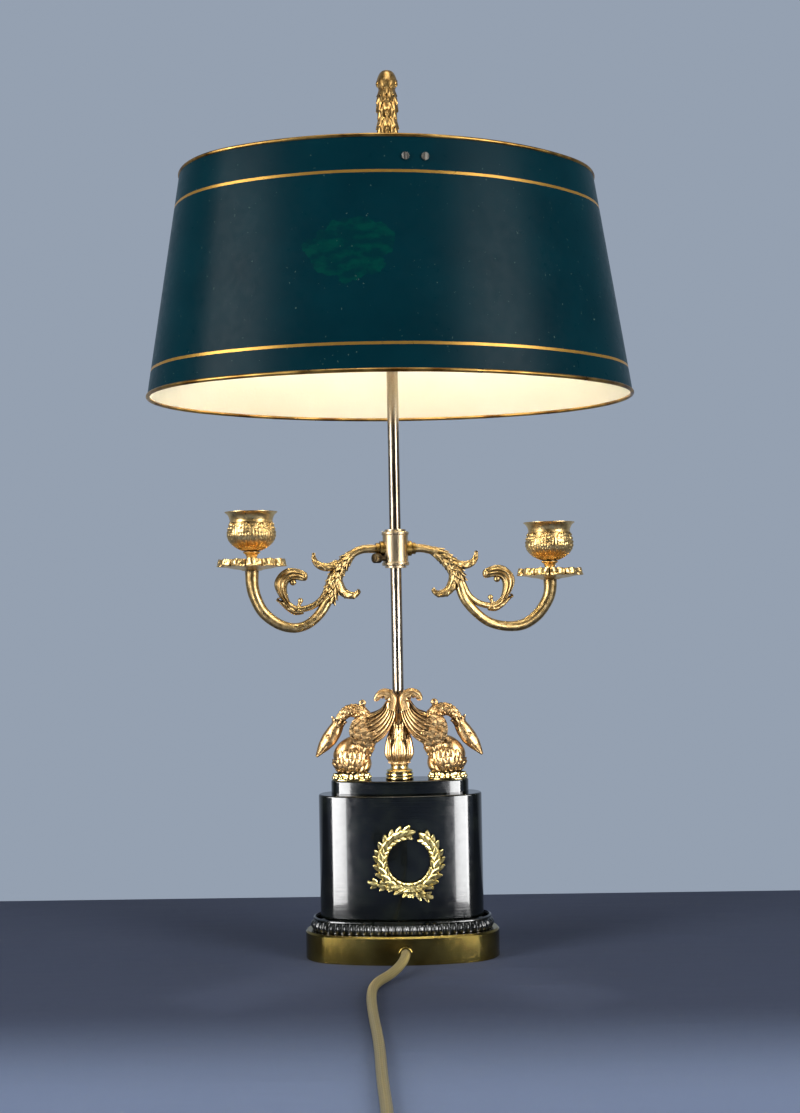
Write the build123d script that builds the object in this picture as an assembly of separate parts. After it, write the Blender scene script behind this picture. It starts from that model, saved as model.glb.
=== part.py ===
from build123d import *
import os
from math import atan, cos, degrees, pi, sin, sqrt, tan

os.makedirs("parts", exist_ok=True)

# An oval bouillotte lamp: a lacquered base on a brass foot carries a rod, on which a pair of candle arms
# and a tapered metal shade slide and turn. Millimetres, +Z up, origin under the rod on the resting face.

# ---- base, from the resting face up --------------------------------------------------------------
# A plan is an oval of four tangent arcs: half width along X, half depth along Y, radius of its ends.
body_plan = (56.7, 22.0, 16.0)
step_plan = (47.8, 15.0, 9.5)
foot_flare = 10.4            # how far the foot ring stands out from the body, all round
moulding_flare = 6.9
foot_height = 19.0
foot_wall = 2.5
foot_flange = 3.0            # top flange of the ring
flange_width = 19.0
felt_thickness = 1.5
plate_thickness = 1.5
moulding_height = 9.0
moulding_round = 3.6
body_height = 84.0
body_wall = 2.5
step_height = 9.5
edge_round = 1.2
ballast_height = 22.0
ballast_gap = 1.2

foot_plan = tuple(value + foot_flare for value in body_plan)
moulding_plan = tuple(value + moulding_flare for value in body_plan)
moulding_base = foot_height
body_base = moulding_base + moulding_height
step_base = body_base + body_height
step_top = step_base + step_height

# ---- rod and its fastenings ----------------------------------------------------------------------
rod_r = 4.0
rod_bore_r = 2.6
rod_bottom = 12.5
rod_in_finial = 7.0          # rod's end over the finial's seat
screwed_gap = 0.05           # radial gap of pieces that are screwed or clamped on
running_gap = 0.05           # radial gap of pieces that slide or turn
rest_gap = 0.3               # axial gap between pieces that turn on each other
nut_flats = 13.0
nut_height = 4.0
washer_r = 8.5
washer_thickness = 1.4
screw_r = 2.0                # M4 screws and studs
screw_head_r = 3.5
screw_head_height = 2.4
screw_depth = 6.0            # how far an M4 screw or stud bites

# ---- bud around the foot of the rod --------------------------------------------------------------
socle_r = 9.75
socle_height = 9.5
bud_neck_r = 5.9
bud_r = 10.1
bud_belly = 9.0              # height of the widest place over the socle
bud_height = 36.5
bud_tip_r = 4.7

# ---- swans ---------------------------------------------------------------------------------------
swan_x = 33.4                # plinth centre from the rod
plinth_half = (14.0, 10.0)
plinth_height = 4.5
swan_body = (13.0, 9.6, 11.5)          # half length, half width, half height
swan_body_rise = 9.0                   # body centre over the plinth
swan_torso = (8.6, 7.0, 17.0)
swan_wing_y = 5.4                      # inner face of a wing from the swan's middle
swan_wing_thickness = 4.0
swan_neck_r = 3.3
swan_head_r = 5.2
swan_head_length = 33.0
swan_beak_direction = (18.0, 0, -28.5)
# Points of a swan as (distance outwards from its plinth's middle, height over the plinth).
swan_torso_middle = (-9.5, 27.0)
swan_neck_route = [(-9.4, 31.0), (-6.9, 42.5), (1.6, 43.5), (8.6, 34.0), (11.0, 29.0)]
swan_neck_bends = [5.0, 5.0, 7.0]
swan_nape = (7.0, 37.5)
swan_head_stations = [(0, 3.2), (8.0, swan_head_r), (16.0, 4.472), (24.0, 2.7), (swan_head_length, 0.9)]
swan_wing_outline = [
    (-0.4, 32.0), (0.2, 22.5), (-5.9, 16.5), (-19.4, 20.5), (-27.4, 28.5), (-31.2, 38.0), (-31.5, 46.0),
    (-27.9, 53.2), (-21.9, 54.6), (-16.4, 50.0), (-22.2, 47.5), (-20.9, 43.6), (-10.7, 39.5)]

# ---- wreaths on both long faces ------------------------------------------------------------------
wreath_r = 24.4
wreath_hole_r = 14.2
wreath_thickness = 2.4
wreath_z = 68.3
wreath_x = 5.9               # the wreath on the cord side is fixed a little off the middle
wreath_pin_r = 0.9
wreath_pin_circle = 19.0

# ---- collar of the candle arms -------------------------------------------------------------------
arms_turn = 10.5             # degrees about the rod, left arm towards -Y
collar_base = 270.0
collar_height = 23.8
collar_r = 8.9
collar_lip_r = 9.5
collar_lip_height = 2.6
bush_r = 6.2
bush_flange_r = 7.4
bush_flange_height = 1.2
arm_rise = 12.0              # axis of the ferrules and of the arms' first stretch, over the collar's base
arm_z = collar_base + arm_rise
ferrule_r = 5.3
ferrule_length = 2.2
ferrule_neck_r = 4.1
ferrule_reach = 14.0         # from the rod's axis to the start of the arm
tenon_r = 3.0

# ---- arms: a drawn tube with a husk, and a branch that ends in a scroll --------------------------
arm_tube_r = 3.3
arm_cup_r = 5.0              # the tube swells under its pan
arm_swell = 11.0
arm_elbow_x = 33.5
arm_low_x = 51.0
arm_elbow_bend = 14.0
arm_low_bend = 30.0
arm_cup_bend = 26.0
branch_r = 2.0
leaf_thickness = 6.0
# Points of the branch and its leaves as (distance from the rod, drop under the arm's axis).
branch_route = [(46.5, 32.0), (56.5, 41.5), (70.0, 41.5), (77.5, 32.0)]
branch_bends = [8.0, 8.0]
scroll_points = [
    (75.0, 35.0), (83.5, 23.5), (73.5, 13.8), (66.8, 15.4), (63.0, 20.5), (68.5, 19.2), (73.0, 23.5)]
bract_outline = [(68.0, 42.5), (82.5, 34.4), (72.5, 34.8)]
husk_outline = [
    (31.0, 2.0), (40.0, 5.5), (56.5, 2.0), (49.0, 13.0), (47.5, 27.0), (43.5, 34.0), (29.5, 32.7),
    (22.8, 28.6), (35.0, 23.0), (37.0, 14.0)]
arm_reach = {"left": 100.3, "right": 110.8}       # the two arms are bent a little unalike
arm_low_drop = {"left": 54.1, "right": 56.0}      # lowest stretch, under the arm's axis
pan_drop = {"left": 14.1, "right": 23.5}
arm_low_z = {side: arm_z - drop for side, drop in arm_low_drop.items()}
pan_base = {side: arm_z - drop for side, drop in pan_drop.items()}
arm_heading = {"left": arms_turn + 180.0, "right": arms_turn}

# ---- drip pans and candle cups (heights over the pan's underside) --------------------------------
pan_r = 24.3
pan_lobes = 12
pan_dish_r = 18.6
pan_hub_r = 7.0
pan_floor = 4.6
pan_height = 7.8
pan_under = 2.6              # depth of the pan's hub under its flat
cup_stem_r = 4.2
cup_bowl_base = 13.6
cup_bowl_r = 16.1
cup_belly = 25.0
cup_neck = 33.4
cup_neck_r = 14.6
cup_height = 40.8
cup_rim_r = 18.2
candle_r = 11.0
candle_gap = 0.3
socket_depth = 22.0
flare_height = 5.0           # the socket's wall opens out over this height at the rim

# ---- thumbscrews ---------------------------------------------------------------------------------
knob_r = 3.4
knob_length = 6.4
knob_neck = 3.2
thumb_shank_r = 1.95
collar_screw_z = collar_base + 5.2
collar_screw_heading = arms_turn + 180.0 + 25.0
sleeve_screw_heading = 300.0

# ---- two-light cluster, hidden in the shade ------------------------------------------------------
shade_turn = 11.0            # degrees about the rod, left end towards -Y
cluster_base = 416.0
cluster_height = 12.0
cluster_r = 14.0
cluster_arm_r = 4.0
holder_spread = 38.0         # lampholder axis from the rod
holder_foot_r = 7.0
holder_r = 13.0
holder_height = 38.0
holder_floor = 5.0
holder_bore_r = 11.0
cap_r = 7.0                  # bulb cap
bulb_r = 17.5
bulb_height = 60.0
wire_r = 1.6
wire_z = 6.8
wire_bend = 5.0

# ---- shade ---------------------------------------------------------------------------------------
shade_plan = (170.0, 128.0, 105.0)     # plan of the bottom rim
shade_inset = 24.0                     # the top rim lies this far inside the bottom one
shade_base = 388.0
shade_height = 153.5
shade_wall = 0.8
rim_r = 1.3
rivet_spacing = 12.8
rivet_edge = 2.1                # from a rivet's middle to the strap's edge
strap_width = rivet_spacing + 2 * rivet_edge
strap_thickness = 1.8
strap_tab = 12.0
strap_eye_r = 12.0
strap_drop = 8.2             # strap's top face below the top rim
rivet_r = 1.5
rivet_head_r = 2.5
rivet_head_height = 1.2
sleeve_r = 7.0
sleeve_flange_r = 10.0
sleeve_flange_height = 2.0
sleeve_below = 9.0           # sleeve under the strap
sleeve_above = 12.0
sleeve_nut_flats = 17.0

# ---- finial: a bird's feathered neck, its head bent towards +Y -----------------------------------
finial_rise = 15.7           # finial's seat over the strap
finial_seat_r = 7.5
finial_seat_height = 4.0
finial_stem_r = 5.2
finial_sections = [          # height over the seat, Y of the middle, half width, half depth
    (12.0, 0.0, 5.0, 5.0), (16.0, 0.0, 6.8, 7.0), (24.0, 0.0, 7.8, 8.6), (36.0, -1.0, 7.3, 8.0),
    (48.0, -2.0, 7.7, 7.4), (53.0, -1.6, 7.0, 6.8), (57.0, -0.6, 5.9, 6.4), (62.0, 1.4, 7.3, 8.0),
    (68.0, 3.0, 6.0, 7.0), (71.5, 3.5, 3.2, 4.2)]
finial_beak = (17.0, 53.0, 2.4)        # Y and height of its tip over the seat, radius at its root

# ---- cord, inline switch and plug ----------------------------------------------------------------
cord_r = 3.15
cord_exit = (2.8, 8.1)       # X and Z of the hole in the foot
bush_hole_r = 3.4
bush_barrel_r = 4.0
bush_lip_r = 4.8
bush_lip = 1.6
bush_inside = 3.0
switch_near = -388.0
switch_size = (23.0, 60.0, 16.0)
switch_x = 3.0
switch_axis_z = 7.5
switch_base_height = 8.0
switch_corner_r = 8.0
switch_chamfer = 2.0
rocker_size = (9.0, 17.0, 9.0)
rocker_tip = 7.0             # degrees from level on either side
trunnion_r = 1.0
trunnion_depth = 1.2
coil_centre = (-62.0, -456.0)
coil_outer_r = 44.2          # middle of the outermost turn
coil_turns_per_layer = 3
coil_pitch = 6.4
coil_layers = 2
tie_width = 8.0
tie_thickness = 0.9
plug_face = -112.0           # X of the plug's cord end
plug_size = (36.0, 26.0, 13.0)
plug_axis_z = 6.6
plug_shoulder = 8.2          # how far the corners slope off at the cord's end
plug_round = 2.0
plug_pin_r = 2.0
plug_pin_length = 19.0
plug_pin_spacing = 18.6
exit_y = -(foot_plan[1] + bush_lip)
lead_route = [
    (cord_exit[0], exit_y, cord_exit[1]), (cord_exit[0], -49.0, cord_exit[1]), (-4.2, -68.0, 4.2),
    (-15.5, -90.0, 3.15), (-17.0, -118.0, 3.15), (-13.2, -165.0, 3.15), (-7.2, -222.0, 3.15),
    (-3.6, -280.0, 3.15), (0.5, -326.0, 3.15), (1.8, -352.0, 3.2), (switch_x, -374.0, switch_axis_z),
    (switch_x, switch_near, switch_axis_z)]
mid_route = [
    (switch_x, switch_near - switch_size[1], switch_axis_z), (switch_x, -463.0, switch_axis_z),
    (-3.5, -481.0, 4.6), (-19.0, -495.0, 3.2), (-41.0, -500.0, 3.15),
    (coil_centre[0], coil_centre[1] - coil_outer_r, 3.15)]
tail_route = [
    (coil_centre[0], coil_centre[1] - coil_outer_r, 9.45), (-78.0, -500.4, 9.2), (-95.0, -499.8, plug_axis_z),
    (plug_face, -499.8, plug_axis_z)]


# ---- shared shapes -------------------------------------------------------------------------------
def oval(plan, inset=0.0, z=0.0):
    """Face of four tangent arcs at height z, inset all round."""
    half_w, half_d, end_r = (value - inset for value in plan)
    centre_x = half_w - end_r
    side_r = (centre_x ** 2 + half_d ** 2 - end_r ** 2) / (2 * (half_d - end_r))
    span = side_r - end_r
    join_x = centre_x + end_r * centre_x / span
    join_y = end_r * (side_r - half_d) / span
    arcs = [
        ThreePointArc((join_x, -join_y), (half_w, 0), (join_x, join_y)),
        ThreePointArc((join_x, join_y), (0, half_d), (-join_x, join_y)),
        ThreePointArc((-join_x, join_y), (-half_w, 0), (-join_x, -join_y)),
        ThreePointArc((-join_x, -join_y), (0, -half_d), (join_x, -join_y))]
    return Pos(0, 0, z) * Face(Wire(arcs))


def slab(plan, z, height, inset=0.0):
    return extrude(oval(plan, inset, z), height)


def rod_bore(radius, z, height, x=0.0, y=0.0):
    """Upright cylinder from z, to cut or to keep."""
    return Pos(x, y, z) * Cylinder(radius, height, align=(Align.CENTER, Align.CENTER, Align.MIN))


def ring(outer_r, inner_r, z, height, x=0.0, y=0.0):
    return rod_bore(outer_r, z, height, x, y) - rod_bore(inner_r, z, height, x, y)


def hex_nut(flats, hole_r, z, height, x=0.0, y=0.0):
    across_corners_r = flats / 2 / cos(pi / 6)
    nut = Pos(x, y, z) * extrude(RegularPolygon(across_corners_r, 6), height)
    return nut - rod_bore(hole_r, z, height, x, y)


def turned(profile):
    """Solid turned about the Z axis from (radius, height) points."""
    return revolve(Plane.XZ * make_face(Polyline(*profile, close=True)), Axis.Z)


def bar(radius, start, length, heading, z):
    """Round bar that points away from the rod, from start to start + length."""
    lying = Rot(0, 0, heading) * Pos(start, 0, z) * Rot(0, 90, 0)
    return lying * Cylinder(radius, length, align=(Align.CENTER, Align.CENTER, Align.MIN))


def route_radii(points):
    """Largest even arcs: 0.45 of the shorter run over the tangent of half the turn."""
    radii = []
    for before, corner, after in zip(points, points[1:], points[2:]):
        run_in, run_out = Vector(*corner) - Vector(*before), Vector(*after) - Vector(*corner)
        half_turn = run_in.get_angle(run_out) * pi / 360
        radii.append(0.45 * min(run_in.length, run_out.length) / tan(half_turn))
    return radii


def cord_tube(name, points):
    radii = route_radii(points)
    path = FilletPolyline(*points, radius=radii)
    section = Plane(origin=path @ 0, z_dir=path % 0) * Circle(cord_r)
    tube = sweep(section, path=path)
    ideal = pi * cord_r ** 2 * path.length
    print(name, "length", round(path.length, 1), "radii", [round(r, 1) for r in radii],
          "volume ratio", round(tube.volume / ideal, 4))
    return tube


# ---- base ----------------------------------------------------------------------------------------
def foot_ring():
    shell = slab(foot_plan, 0, foot_height)
    shell = chamfer(shell.faces().sort_by(Axis.Z)[-1].edges(), edge_round)
    shell -= slab(foot_plan, 0, foot_height - foot_flange, foot_wall)
    shell -= slab(foot_plan, 0, foot_height, foot_wall + flange_width)
    for x in ring_screw_places():
        shell -= rod_bore(screw_r + screwed_gap, 0, foot_height, x)
    hole = Pos(cord_exit[0], -foot_plan[1], cord_exit[1]) * Rot(90, 0, 0)
    return shell - hole * Cylinder(bush_barrel_r, 4 * foot_wall)


def ring_screw_places():
    place = foot_plan[0] - foot_wall - flange_width / 2
    return (-place, place)


def ring_screws():
    head_base = foot_height - foot_flange - screw_head_height
    screws = []
    for x in ring_screw_places():
        head = rod_bore(screw_head_r, head_base, screw_head_height, x)
        screws.append(head + rod_bore(screw_r, head_base, screw_head_height + foot_flange + screw_depth, x))
    return Compound(screws)


def bead_moulding():
    plate = slab(moulding_plan, moulding_base, moulding_height)
    plate = fillet(plate.faces().sort_by(Axis.Z)[0].edges() + plate.faces().sort_by(Axis.Z)[-1].edges(),
                   moulding_round)
    plate -= rod_bore(rod_r + screwed_gap, moulding_base, moulding_height)
    for x in ring_screw_places():
        plate -= rod_bore(screw_r + screwed_gap, moulding_base, screw_depth + screwed_gap, x)
    return plate


def base_body():
    shell = slab(body_plan, body_base, body_height)
    shell = fillet(shell.faces().sort_by(Axis.Z)[-1].edges(), edge_round)
    shell -= slab(body_plan, body_base, body_height - body_wall, body_wall)
    shell -= rod_bore(rod_r + screwed_gap, body_base, body_height)
    for side in (-1, 1):
        shell -= rod_bore(screw_r + screwed_gap, body_base, body_height, side * swan_x)
    for x, z, side in wreath_pin_places():
        shell -= pin_at(x, z, side, wreath_pin_r)
    return shell


def base_step():
    plate = slab(step_plan, step_base, step_height)
    plate = fillet(plate.faces().sort_by(Axis.Z)[-1].edges(), edge_round)
    plate -= rod_bore(rod_r + screwed_gap, step_base, step_height)
    for side in (-1, 1):
        plate -= rod_bore(screw_r + screwed_gap, step_base, step_height, side * swan_x)
    return plate


def ballast():
    block = slab(body_plan, body_base, ballast_height, body_wall + ballast_gap)
    return block - rod_bore(rod_r + screwed_gap, body_base, ballast_height)


def base_plate():
    return slab(foot_plan, felt_thickness, plate_thickness, foot_wall)


def felt_pad():
    return slab(foot_plan, 0, felt_thickness, foot_wall)


# ---- rod -----------------------------------------------------------------------------------------
def lamp_rod():
    tube = ring(rod_r, rod_bore_r, rod_bottom, rod_top - rod_bottom)
    wire_slot = Pos(0, 0, cluster_base + cluster_height / 2) * Rot(0, 0, shade_turn) * Box(
        2 * rod_r, 2 * wire_r, 2 * wire_r)
    return tube - wire_slot


def rod_nuts():
    """Washer and lock nut under the foot, and the nut that holds the ballast down."""
    washer = ring(washer_r, rod_r + screwed_gap, moulding_base - washer_thickness, washer_thickness)
    lower = hex_nut(nut_flats, rod_r, moulding_base - washer_thickness - nut_height, nut_height)
    upper = hex_nut(nut_flats, rod_r, body_base + ballast_height, nut_height)
    return Compound([washer, lower, upper])


def supply_lead():
    """Stripped two-core lead from the cord bush, under the rod and up its bore."""
    start_y = -(foot_plan[1] - foot_wall - bush_inside)
    top = cluster_base + cluster_height / 2
    path = FilletPolyline((0, start_y, wire_z), (0, 0, wire_z), (0, 0, top), radius=wire_bend)
    return sweep(Plane(origin=path @ 0, z_dir=path % 0) * Circle(wire_r), path=path)


def bud_socle():
    groove_r = socle_r - 1.4
    profile = [
        (rod_r, step_top), (socle_r, step_top), (socle_r, step_top + 3.0), (groove_r, step_top + 3.4),
        (groove_r, step_top + 4.0), (socle_r - 0.6, step_top + 4.4), (socle_r - 0.6, step_top + 6.4),
        (bud_neck_r + 1.0, step_top + 7.4), (bud_neck_r, step_top + socle_height),
        (rod_r, step_top + socle_height)]
    return turned(profile)


def bud():
    base = step_top + socle_height
    outline = Spline((bud_neck_r, base), (bud_neck_r + 0.6, base + 2.6), (bud_r, base + bud_belly),
                     (bud_r - 2.6, base + 0.55 * bud_height), (bud_tip_r, base + bud_height))
    ends = Polyline((bud_tip_r, base + bud_height), (rod_r, base + bud_height), (rod_r, base),
                    (bud_neck_r, base))
    return revolve(Plane.XZ * make_face(outline + ends), Axis.Z)


# ---- swans ---------------------------------------------------------------------------------------
def swan_plinths():
    plinths = []
    for side in (-1, 1):
        face = Pos(side * swan_x, 0, step_top) * Ellipse(*plinth_half)
        plinth = chamfer(extrude(face, plinth_height).faces().sort_by(Axis.Z)[-1].edges(), edge_round)
        plinths.append(plinth - rod_bore(screw_r + screwed_gap, step_top, plinth_height, side * swan_x))
    return Compound(plinths)


def swan(side):
    """Swan that faces outwards: body, torso, two raised wings, arched neck and hanging head, drawn for +X."""
    seat = step_top + plinth_height
    figure = Pos(swan_x, 0, seat + swan_body_rise) * scale(Sphere(1.0), by=swan_body)
    torso_x, torso_z = swan_torso_middle
    figure += Pos(swan_x + torso_x, 0, seat + torso_z) * scale(Sphere(1.0), by=swan_torso)
    for wing_side in (-1, 1):
        middle = wing_side * (swan_wing_y + swan_wing_thickness / 2)
        wing_face = Plane.XZ.offset(middle) * make_face(wing_outline(seat))
        figure += extrude(wing_face, swan_wing_thickness / 2, both=True)
    neck_points = [(swan_x + x, 0, seat + z) for x, z in swan_neck_route]
    neck_path = FilletPolyline(*neck_points, radius=swan_neck_bends)
    figure += sweep(Plane(origin=neck_path @ 0, z_dir=neck_path % 0) * Circle(swan_neck_r), path=neck_path)
    nape_x, nape_z = swan_nape
    nape = Plane(origin=(swan_x + nape_x, 0, seat + nape_z), z_dir=swan_beak_direction)
    figure += loft([nape.offset(distance) * Circle(radius) for distance, radius in swan_head_stations])
    figure -= Pos(swan_x, 0, step_top) * Box(60, 60, 2 * plinth_height)
    figure -= rod_bore(screw_r + screwed_gap, seat, screw_depth + screwed_gap, swan_x)
    return figure if side > 0 else mirror(figure, about=Plane.YZ)


def wing_outline(seat):
    """Closed curve of a raised wing whose tip curls back outwards, from the shoulder round."""
    return Spline([(swan_x + x, seat + z) for x, z in swan_wing_outline], periodic=True)


def swan_studs():
    bottom = step_base - body_wall - nut_height - 1.0
    height = step_top + plinth_height + screw_depth - bottom
    return Compound([rod_bore(screw_r, bottom, height, side * swan_x) for side in (-1, 1)])


def swan_nuts():
    base = step_base - body_wall - nut_height
    return Compound([hex_nut(7.0, screw_r, base, nut_height, side * swan_x) for side in (-1, 1)])


# ---- wreaths -------------------------------------------------------------------------------------
def wreath_pin_places():
    """(x, z, side) of the brads that hold both wreaths."""
    places = []
    for side, x in ((-1, wreath_x), (1, 0.0)):
        for turn in (90, 210, 330):
            angle = turn * pi / 180
            pin_x, pin_z = x + wreath_pin_circle * cos(angle), wreath_z + wreath_pin_circle * sin(angle)
            places.append((pin_x, pin_z, side))
    return places


def pin_at(x, z, side, radius):
    """Brad from 1 mm inside the body's wall to 1 mm into the wreath."""
    centre_x = body_plan[0] - body_plan[2]
    side_r = (centre_x ** 2 + body_plan[1] ** 2 - body_plan[2] ** 2) / (2 * (body_plan[1] - body_plan[2]))
    face_y = body_plan[1] - side_r + sqrt(side_r ** 2 - x ** 2)
    length = body_wall + 2.0
    middle = side * (face_y + 1.0 - length / 2)
    return Pos(x, middle, z) * Rot(90, 0, 0) * Cylinder(radius, length)


def wreath(side, x):
    """Flat laurel ring bent to the body's face, with its crossed stems below."""
    skin = slab(body_plan, body_base, body_height, -wreath_thickness)
    skin -= slab(body_plan, body_base, body_height)
    outline = Circle(wreath_r) - Circle(wreath_hole_r)
    for lean in (-1, 1):
        stem = Pos(lean * 14.0, -wreath_r + 4.4) * Rot(0, 0, lean * 14.0) * Rectangle(26.0, 3.4)
        outline += stem
    cutter = extrude(Plane.XZ.offset(-side * body_plan[1]) * Pos(x, wreath_z) * outline, 8.0, both=True)
    ornament = skin & cutter
    for pin_x, pin_z, pin_side in wreath_pin_places():
        if pin_side == side:
            ornament -= pin_at(pin_x, pin_z, pin_side, wreath_pin_r)
    return ornament


def wreath_pins():
    return Compound([pin_at(x, z, side, wreath_pin_r) for x, z, side in wreath_pin_places()])


# ---- collar and arms -----------------------------------------------------------------------------
def collar_bush():
    base = collar_base - rest_gap - bush_flange_height
    height = collar_height + 2 * rest_gap + 2 * bush_flange_height
    barrel = rod_bore(bush_r, base, height) + rod_bore(bush_flange_r, base, bush_flange_height)
    return barrel - rod_bore(rod_r + running_gap, base, height)


def collar_cap():
    return ring(bush_flange_r, bush_r, collar_base + collar_height + rest_gap, bush_flange_height)


def collar():
    sleeve = rod_bore(collar_r, collar_base, collar_height)
    for z in (collar_base, collar_base + collar_height - collar_lip_height):
        lip = rod_bore(collar_lip_r, z, collar_lip_height)
        sleeve += fillet(lip.edges().filter_by(GeomType.CIRCLE), collar_lip_height / 3)
    sleeve -= rod_bore(bush_r + running_gap, collar_base, collar_height)
    for heading in arm_heading.values():
        sleeve -= bar(tenon_r + screwed_gap, 0, collar_lip_r, heading, arm_z)
    screw_hole = bar(thumb_shank_r + running_gap, 0, 2 * collar_lip_r, collar_screw_heading, collar_screw_z)
    return sleeve - screw_hole


def ferrule(side):
    heading = arm_heading[side]
    saddle = sqrt(collar_r ** 2 - ferrule_r ** 2)
    flange_end = collar_r + ferrule_length
    shape = bar(ferrule_r, saddle, flange_end - saddle, heading, arm_z)
    shape -= rod_bore(collar_r, collar_base, collar_height)
    shape += bar(tenon_r, bush_r + rest_gap, flange_end - bush_r - rest_gap, heading, arm_z)
    return shape + bar(ferrule_neck_r, flange_end, ferrule_reach - flange_end, heading, arm_z)


def plate(outline):
    """Ornament cut from the arm's plane, as thick as a leaf."""
    return extrude(Plane.XZ * make_face(outline), leaf_thickness / 2, both=True)


def on_arm(points):
    """(distance from the rod, height) of points that are given by their drop under the arm's axis."""
    return [(x, arm_z - drop) for x, drop in points]


def arm(side):
    reach, low_z, top_z = arm_reach[side], arm_low_z[side], pan_base[side]
    path = FilletPolyline(
        (ferrule_reach, 0, arm_z), (arm_elbow_x, 0, arm_z), (arm_low_x, 0, low_z), (reach, 0, low_z),
        (reach, 0, top_z), radius=[arm_elbow_bend, arm_low_bend, arm_cup_bend])
    tube = sweep(Plane(origin=path @ 0, z_dir=path % 0) * Circle(arm_tube_r), path=path)
    swell = Pos(reach, 0, top_z - arm_swell / 2) * Cone(arm_tube_r, arm_cup_r, arm_swell)
    branch_path = FilletPolyline(*[(x, 0, z) for x, z in on_arm(branch_route)], radius=branch_bends)
    branch = sweep(Plane(origin=branch_path @ 0, z_dir=branch_path % 0) * Circle(branch_r), path=branch_path)
    curl = on_arm(scroll_points)
    scroll = plate(ThreePointArc(*curl[0:3]) + ThreePointArc(*curl[2:5]) + ThreePointArc(*curl[4:7])
                   + Line(curl[6], curl[0]))
    bract = plate(Polyline(*on_arm(bract_outline), close=True))
    husk = plate(Polyline(*on_arm(husk_outline), close=True))
    shape = tube + swell + branch + scroll + bract + husk
    shape -= rod_bore(screw_r + screwed_gap, top_z - screw_depth, screw_depth, reach)
    return Rot(0, 0, arm_heading[side]) * shape


def drip_pan(side):
    lobe_r = pan_r - pan_dish_r
    plan = Circle(pan_dish_r + 0.4 * lobe_r)
    for lobe in PolarLocations(pan_dish_r, pan_lobes):
        plan += lobe * Circle(lobe_r)
    edge = extrude(plan, pan_height - pan_under)
    dish = rod_bore(pan_dish_r, pan_floor - pan_under, pan_height)
    under = turned([(0, -pan_under), (pan_hub_r, -pan_under), (pan_dish_r + 1.0, 0), (0, 0)])
    pan = edge - dish + under - rod_bore(screw_r + screwed_gap, -pan_under, pan_height)
    return Rot(0, 0, arm_heading[side]) * Pos(arm_reach[side], 0, pan_base[side] + pan_under) * pan


def candle_cup(side):
    socket_base = cup_height - socket_depth
    bore_r = candle_r + candle_gap
    outline = Spline((cup_stem_r + 0.6, cup_bowl_base), (cup_bowl_r - 2.6, cup_bowl_base + 4.6),
                     (cup_bowl_r, cup_belly), (cup_neck_r, cup_neck))
    flare = Spline((cup_neck_r, cup_neck), (cup_neck_r + 0.9, cup_neck + 4.4), (cup_rim_r, cup_height))
    wall = Polyline(
        (cup_rim_r, cup_height), (cup_rim_r - 1.2, cup_height), (bore_r, cup_height - flare_height),
        (bore_r, socket_base), (0, socket_base), (0, pan_floor), (cup_stem_r + 1.2, pan_floor),
        (cup_stem_r - 0.4, pan_floor + 3.0), (cup_stem_r + 0.6, cup_bowl_base))
    cup = revolve(Plane.XZ * make_face(outline + flare + wall), Axis.Z)
    cup -= rod_bore(screw_r + screwed_gap, pan_floor, screw_depth)
    return Rot(0, 0, arm_heading[side]) * Pos(arm_reach[side], 0, pan_base[side]) * cup


def cup_studs():
    studs = []
    for side, heading in arm_heading.items():
        stud = rod_bore(screw_r, pan_base[side] - screw_depth, pan_floor + 2 * screw_depth, arm_reach[side])
        studs.append(Rot(0, 0, heading) * stud)
    return Compound(studs)


def thumbscrew(tip, shoulder, heading, z):
    """Knurled screw whose tip stops at one radius and whose neck starts at another."""
    shank = bar(thumb_shank_r, tip, shoulder + knob_neck - tip, heading, z)
    knob = bar(knob_r, shoulder + knob_neck, knob_length, heading, z)
    return shank + chamfer(knob.edges().filter_by(GeomType.CIRCLE), knob_r / 6)


def collar_thumbscrew():
    return thumbscrew(bush_r + rest_gap, collar_lip_r, collar_screw_heading, collar_screw_z)


# ---- lights --------------------------------------------------------------------------------------
def cluster_hub():
    axis_z = cluster_base + cluster_height / 2
    hub = rod_bore(cluster_r, cluster_base, cluster_height)
    hub = chamfer(hub.edges().filter_by(GeomType.CIRCLE), edge_round)
    for heading in (0, 180):
        hub += bar(cluster_arm_r, 0, holder_spread, heading, axis_z)
    for x in (-holder_spread, holder_spread):
        hub += rod_bore(holder_foot_r, cluster_base, cluster_height, x)
    hub -= rod_bore(rod_r + screwed_gap, cluster_base, cluster_height)
    return Rot(0, 0, shade_turn) * (hub - bar(screw_r, 0, cluster_r, 90, axis_z))


def cluster_screw():
    axis_z = cluster_base + cluster_height / 2
    return bar(screw_r - screwed_gap, rod_r, cluster_r - rod_r - 0.6, shade_turn + 90, axis_z)


def lampholder(side):
    base = cluster_base + cluster_height
    cup = rod_bore(holder_r, base, holder_height, side * holder_spread)
    cup = chamfer(cup.edges().filter_by(GeomType.CIRCLE), edge_round)
    cup -= rod_bore(holder_bore_r, base + holder_floor, holder_height, side * holder_spread)
    return Rot(0, 0, shade_turn) * cup


def bulb(side):
    cap_base = cluster_base + cluster_height + holder_floor
    glass_base = cap_base + holder_height - holder_floor
    outline = Spline(
        (cap_r, glass_base), (bulb_r - 3.0, glass_base + 0.22 * bulb_height),
        (bulb_r, glass_base + 0.42 * bulb_height), (bulb_r - 6.0, glass_base + 0.76 * bulb_height),
        (1.2, glass_base + bulb_height))
    closing = Polyline(
        (1.2, glass_base + bulb_height), (0, glass_base + bulb_height), (0, cap_base), (cap_r, cap_base),
        (cap_r, glass_base))
    lamp = revolve(Plane.XZ * make_face(outline + closing), Axis.Z)
    return Rot(0, 0, shade_turn) * Pos(side * holder_spread, 0, 0) * lamp


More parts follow.
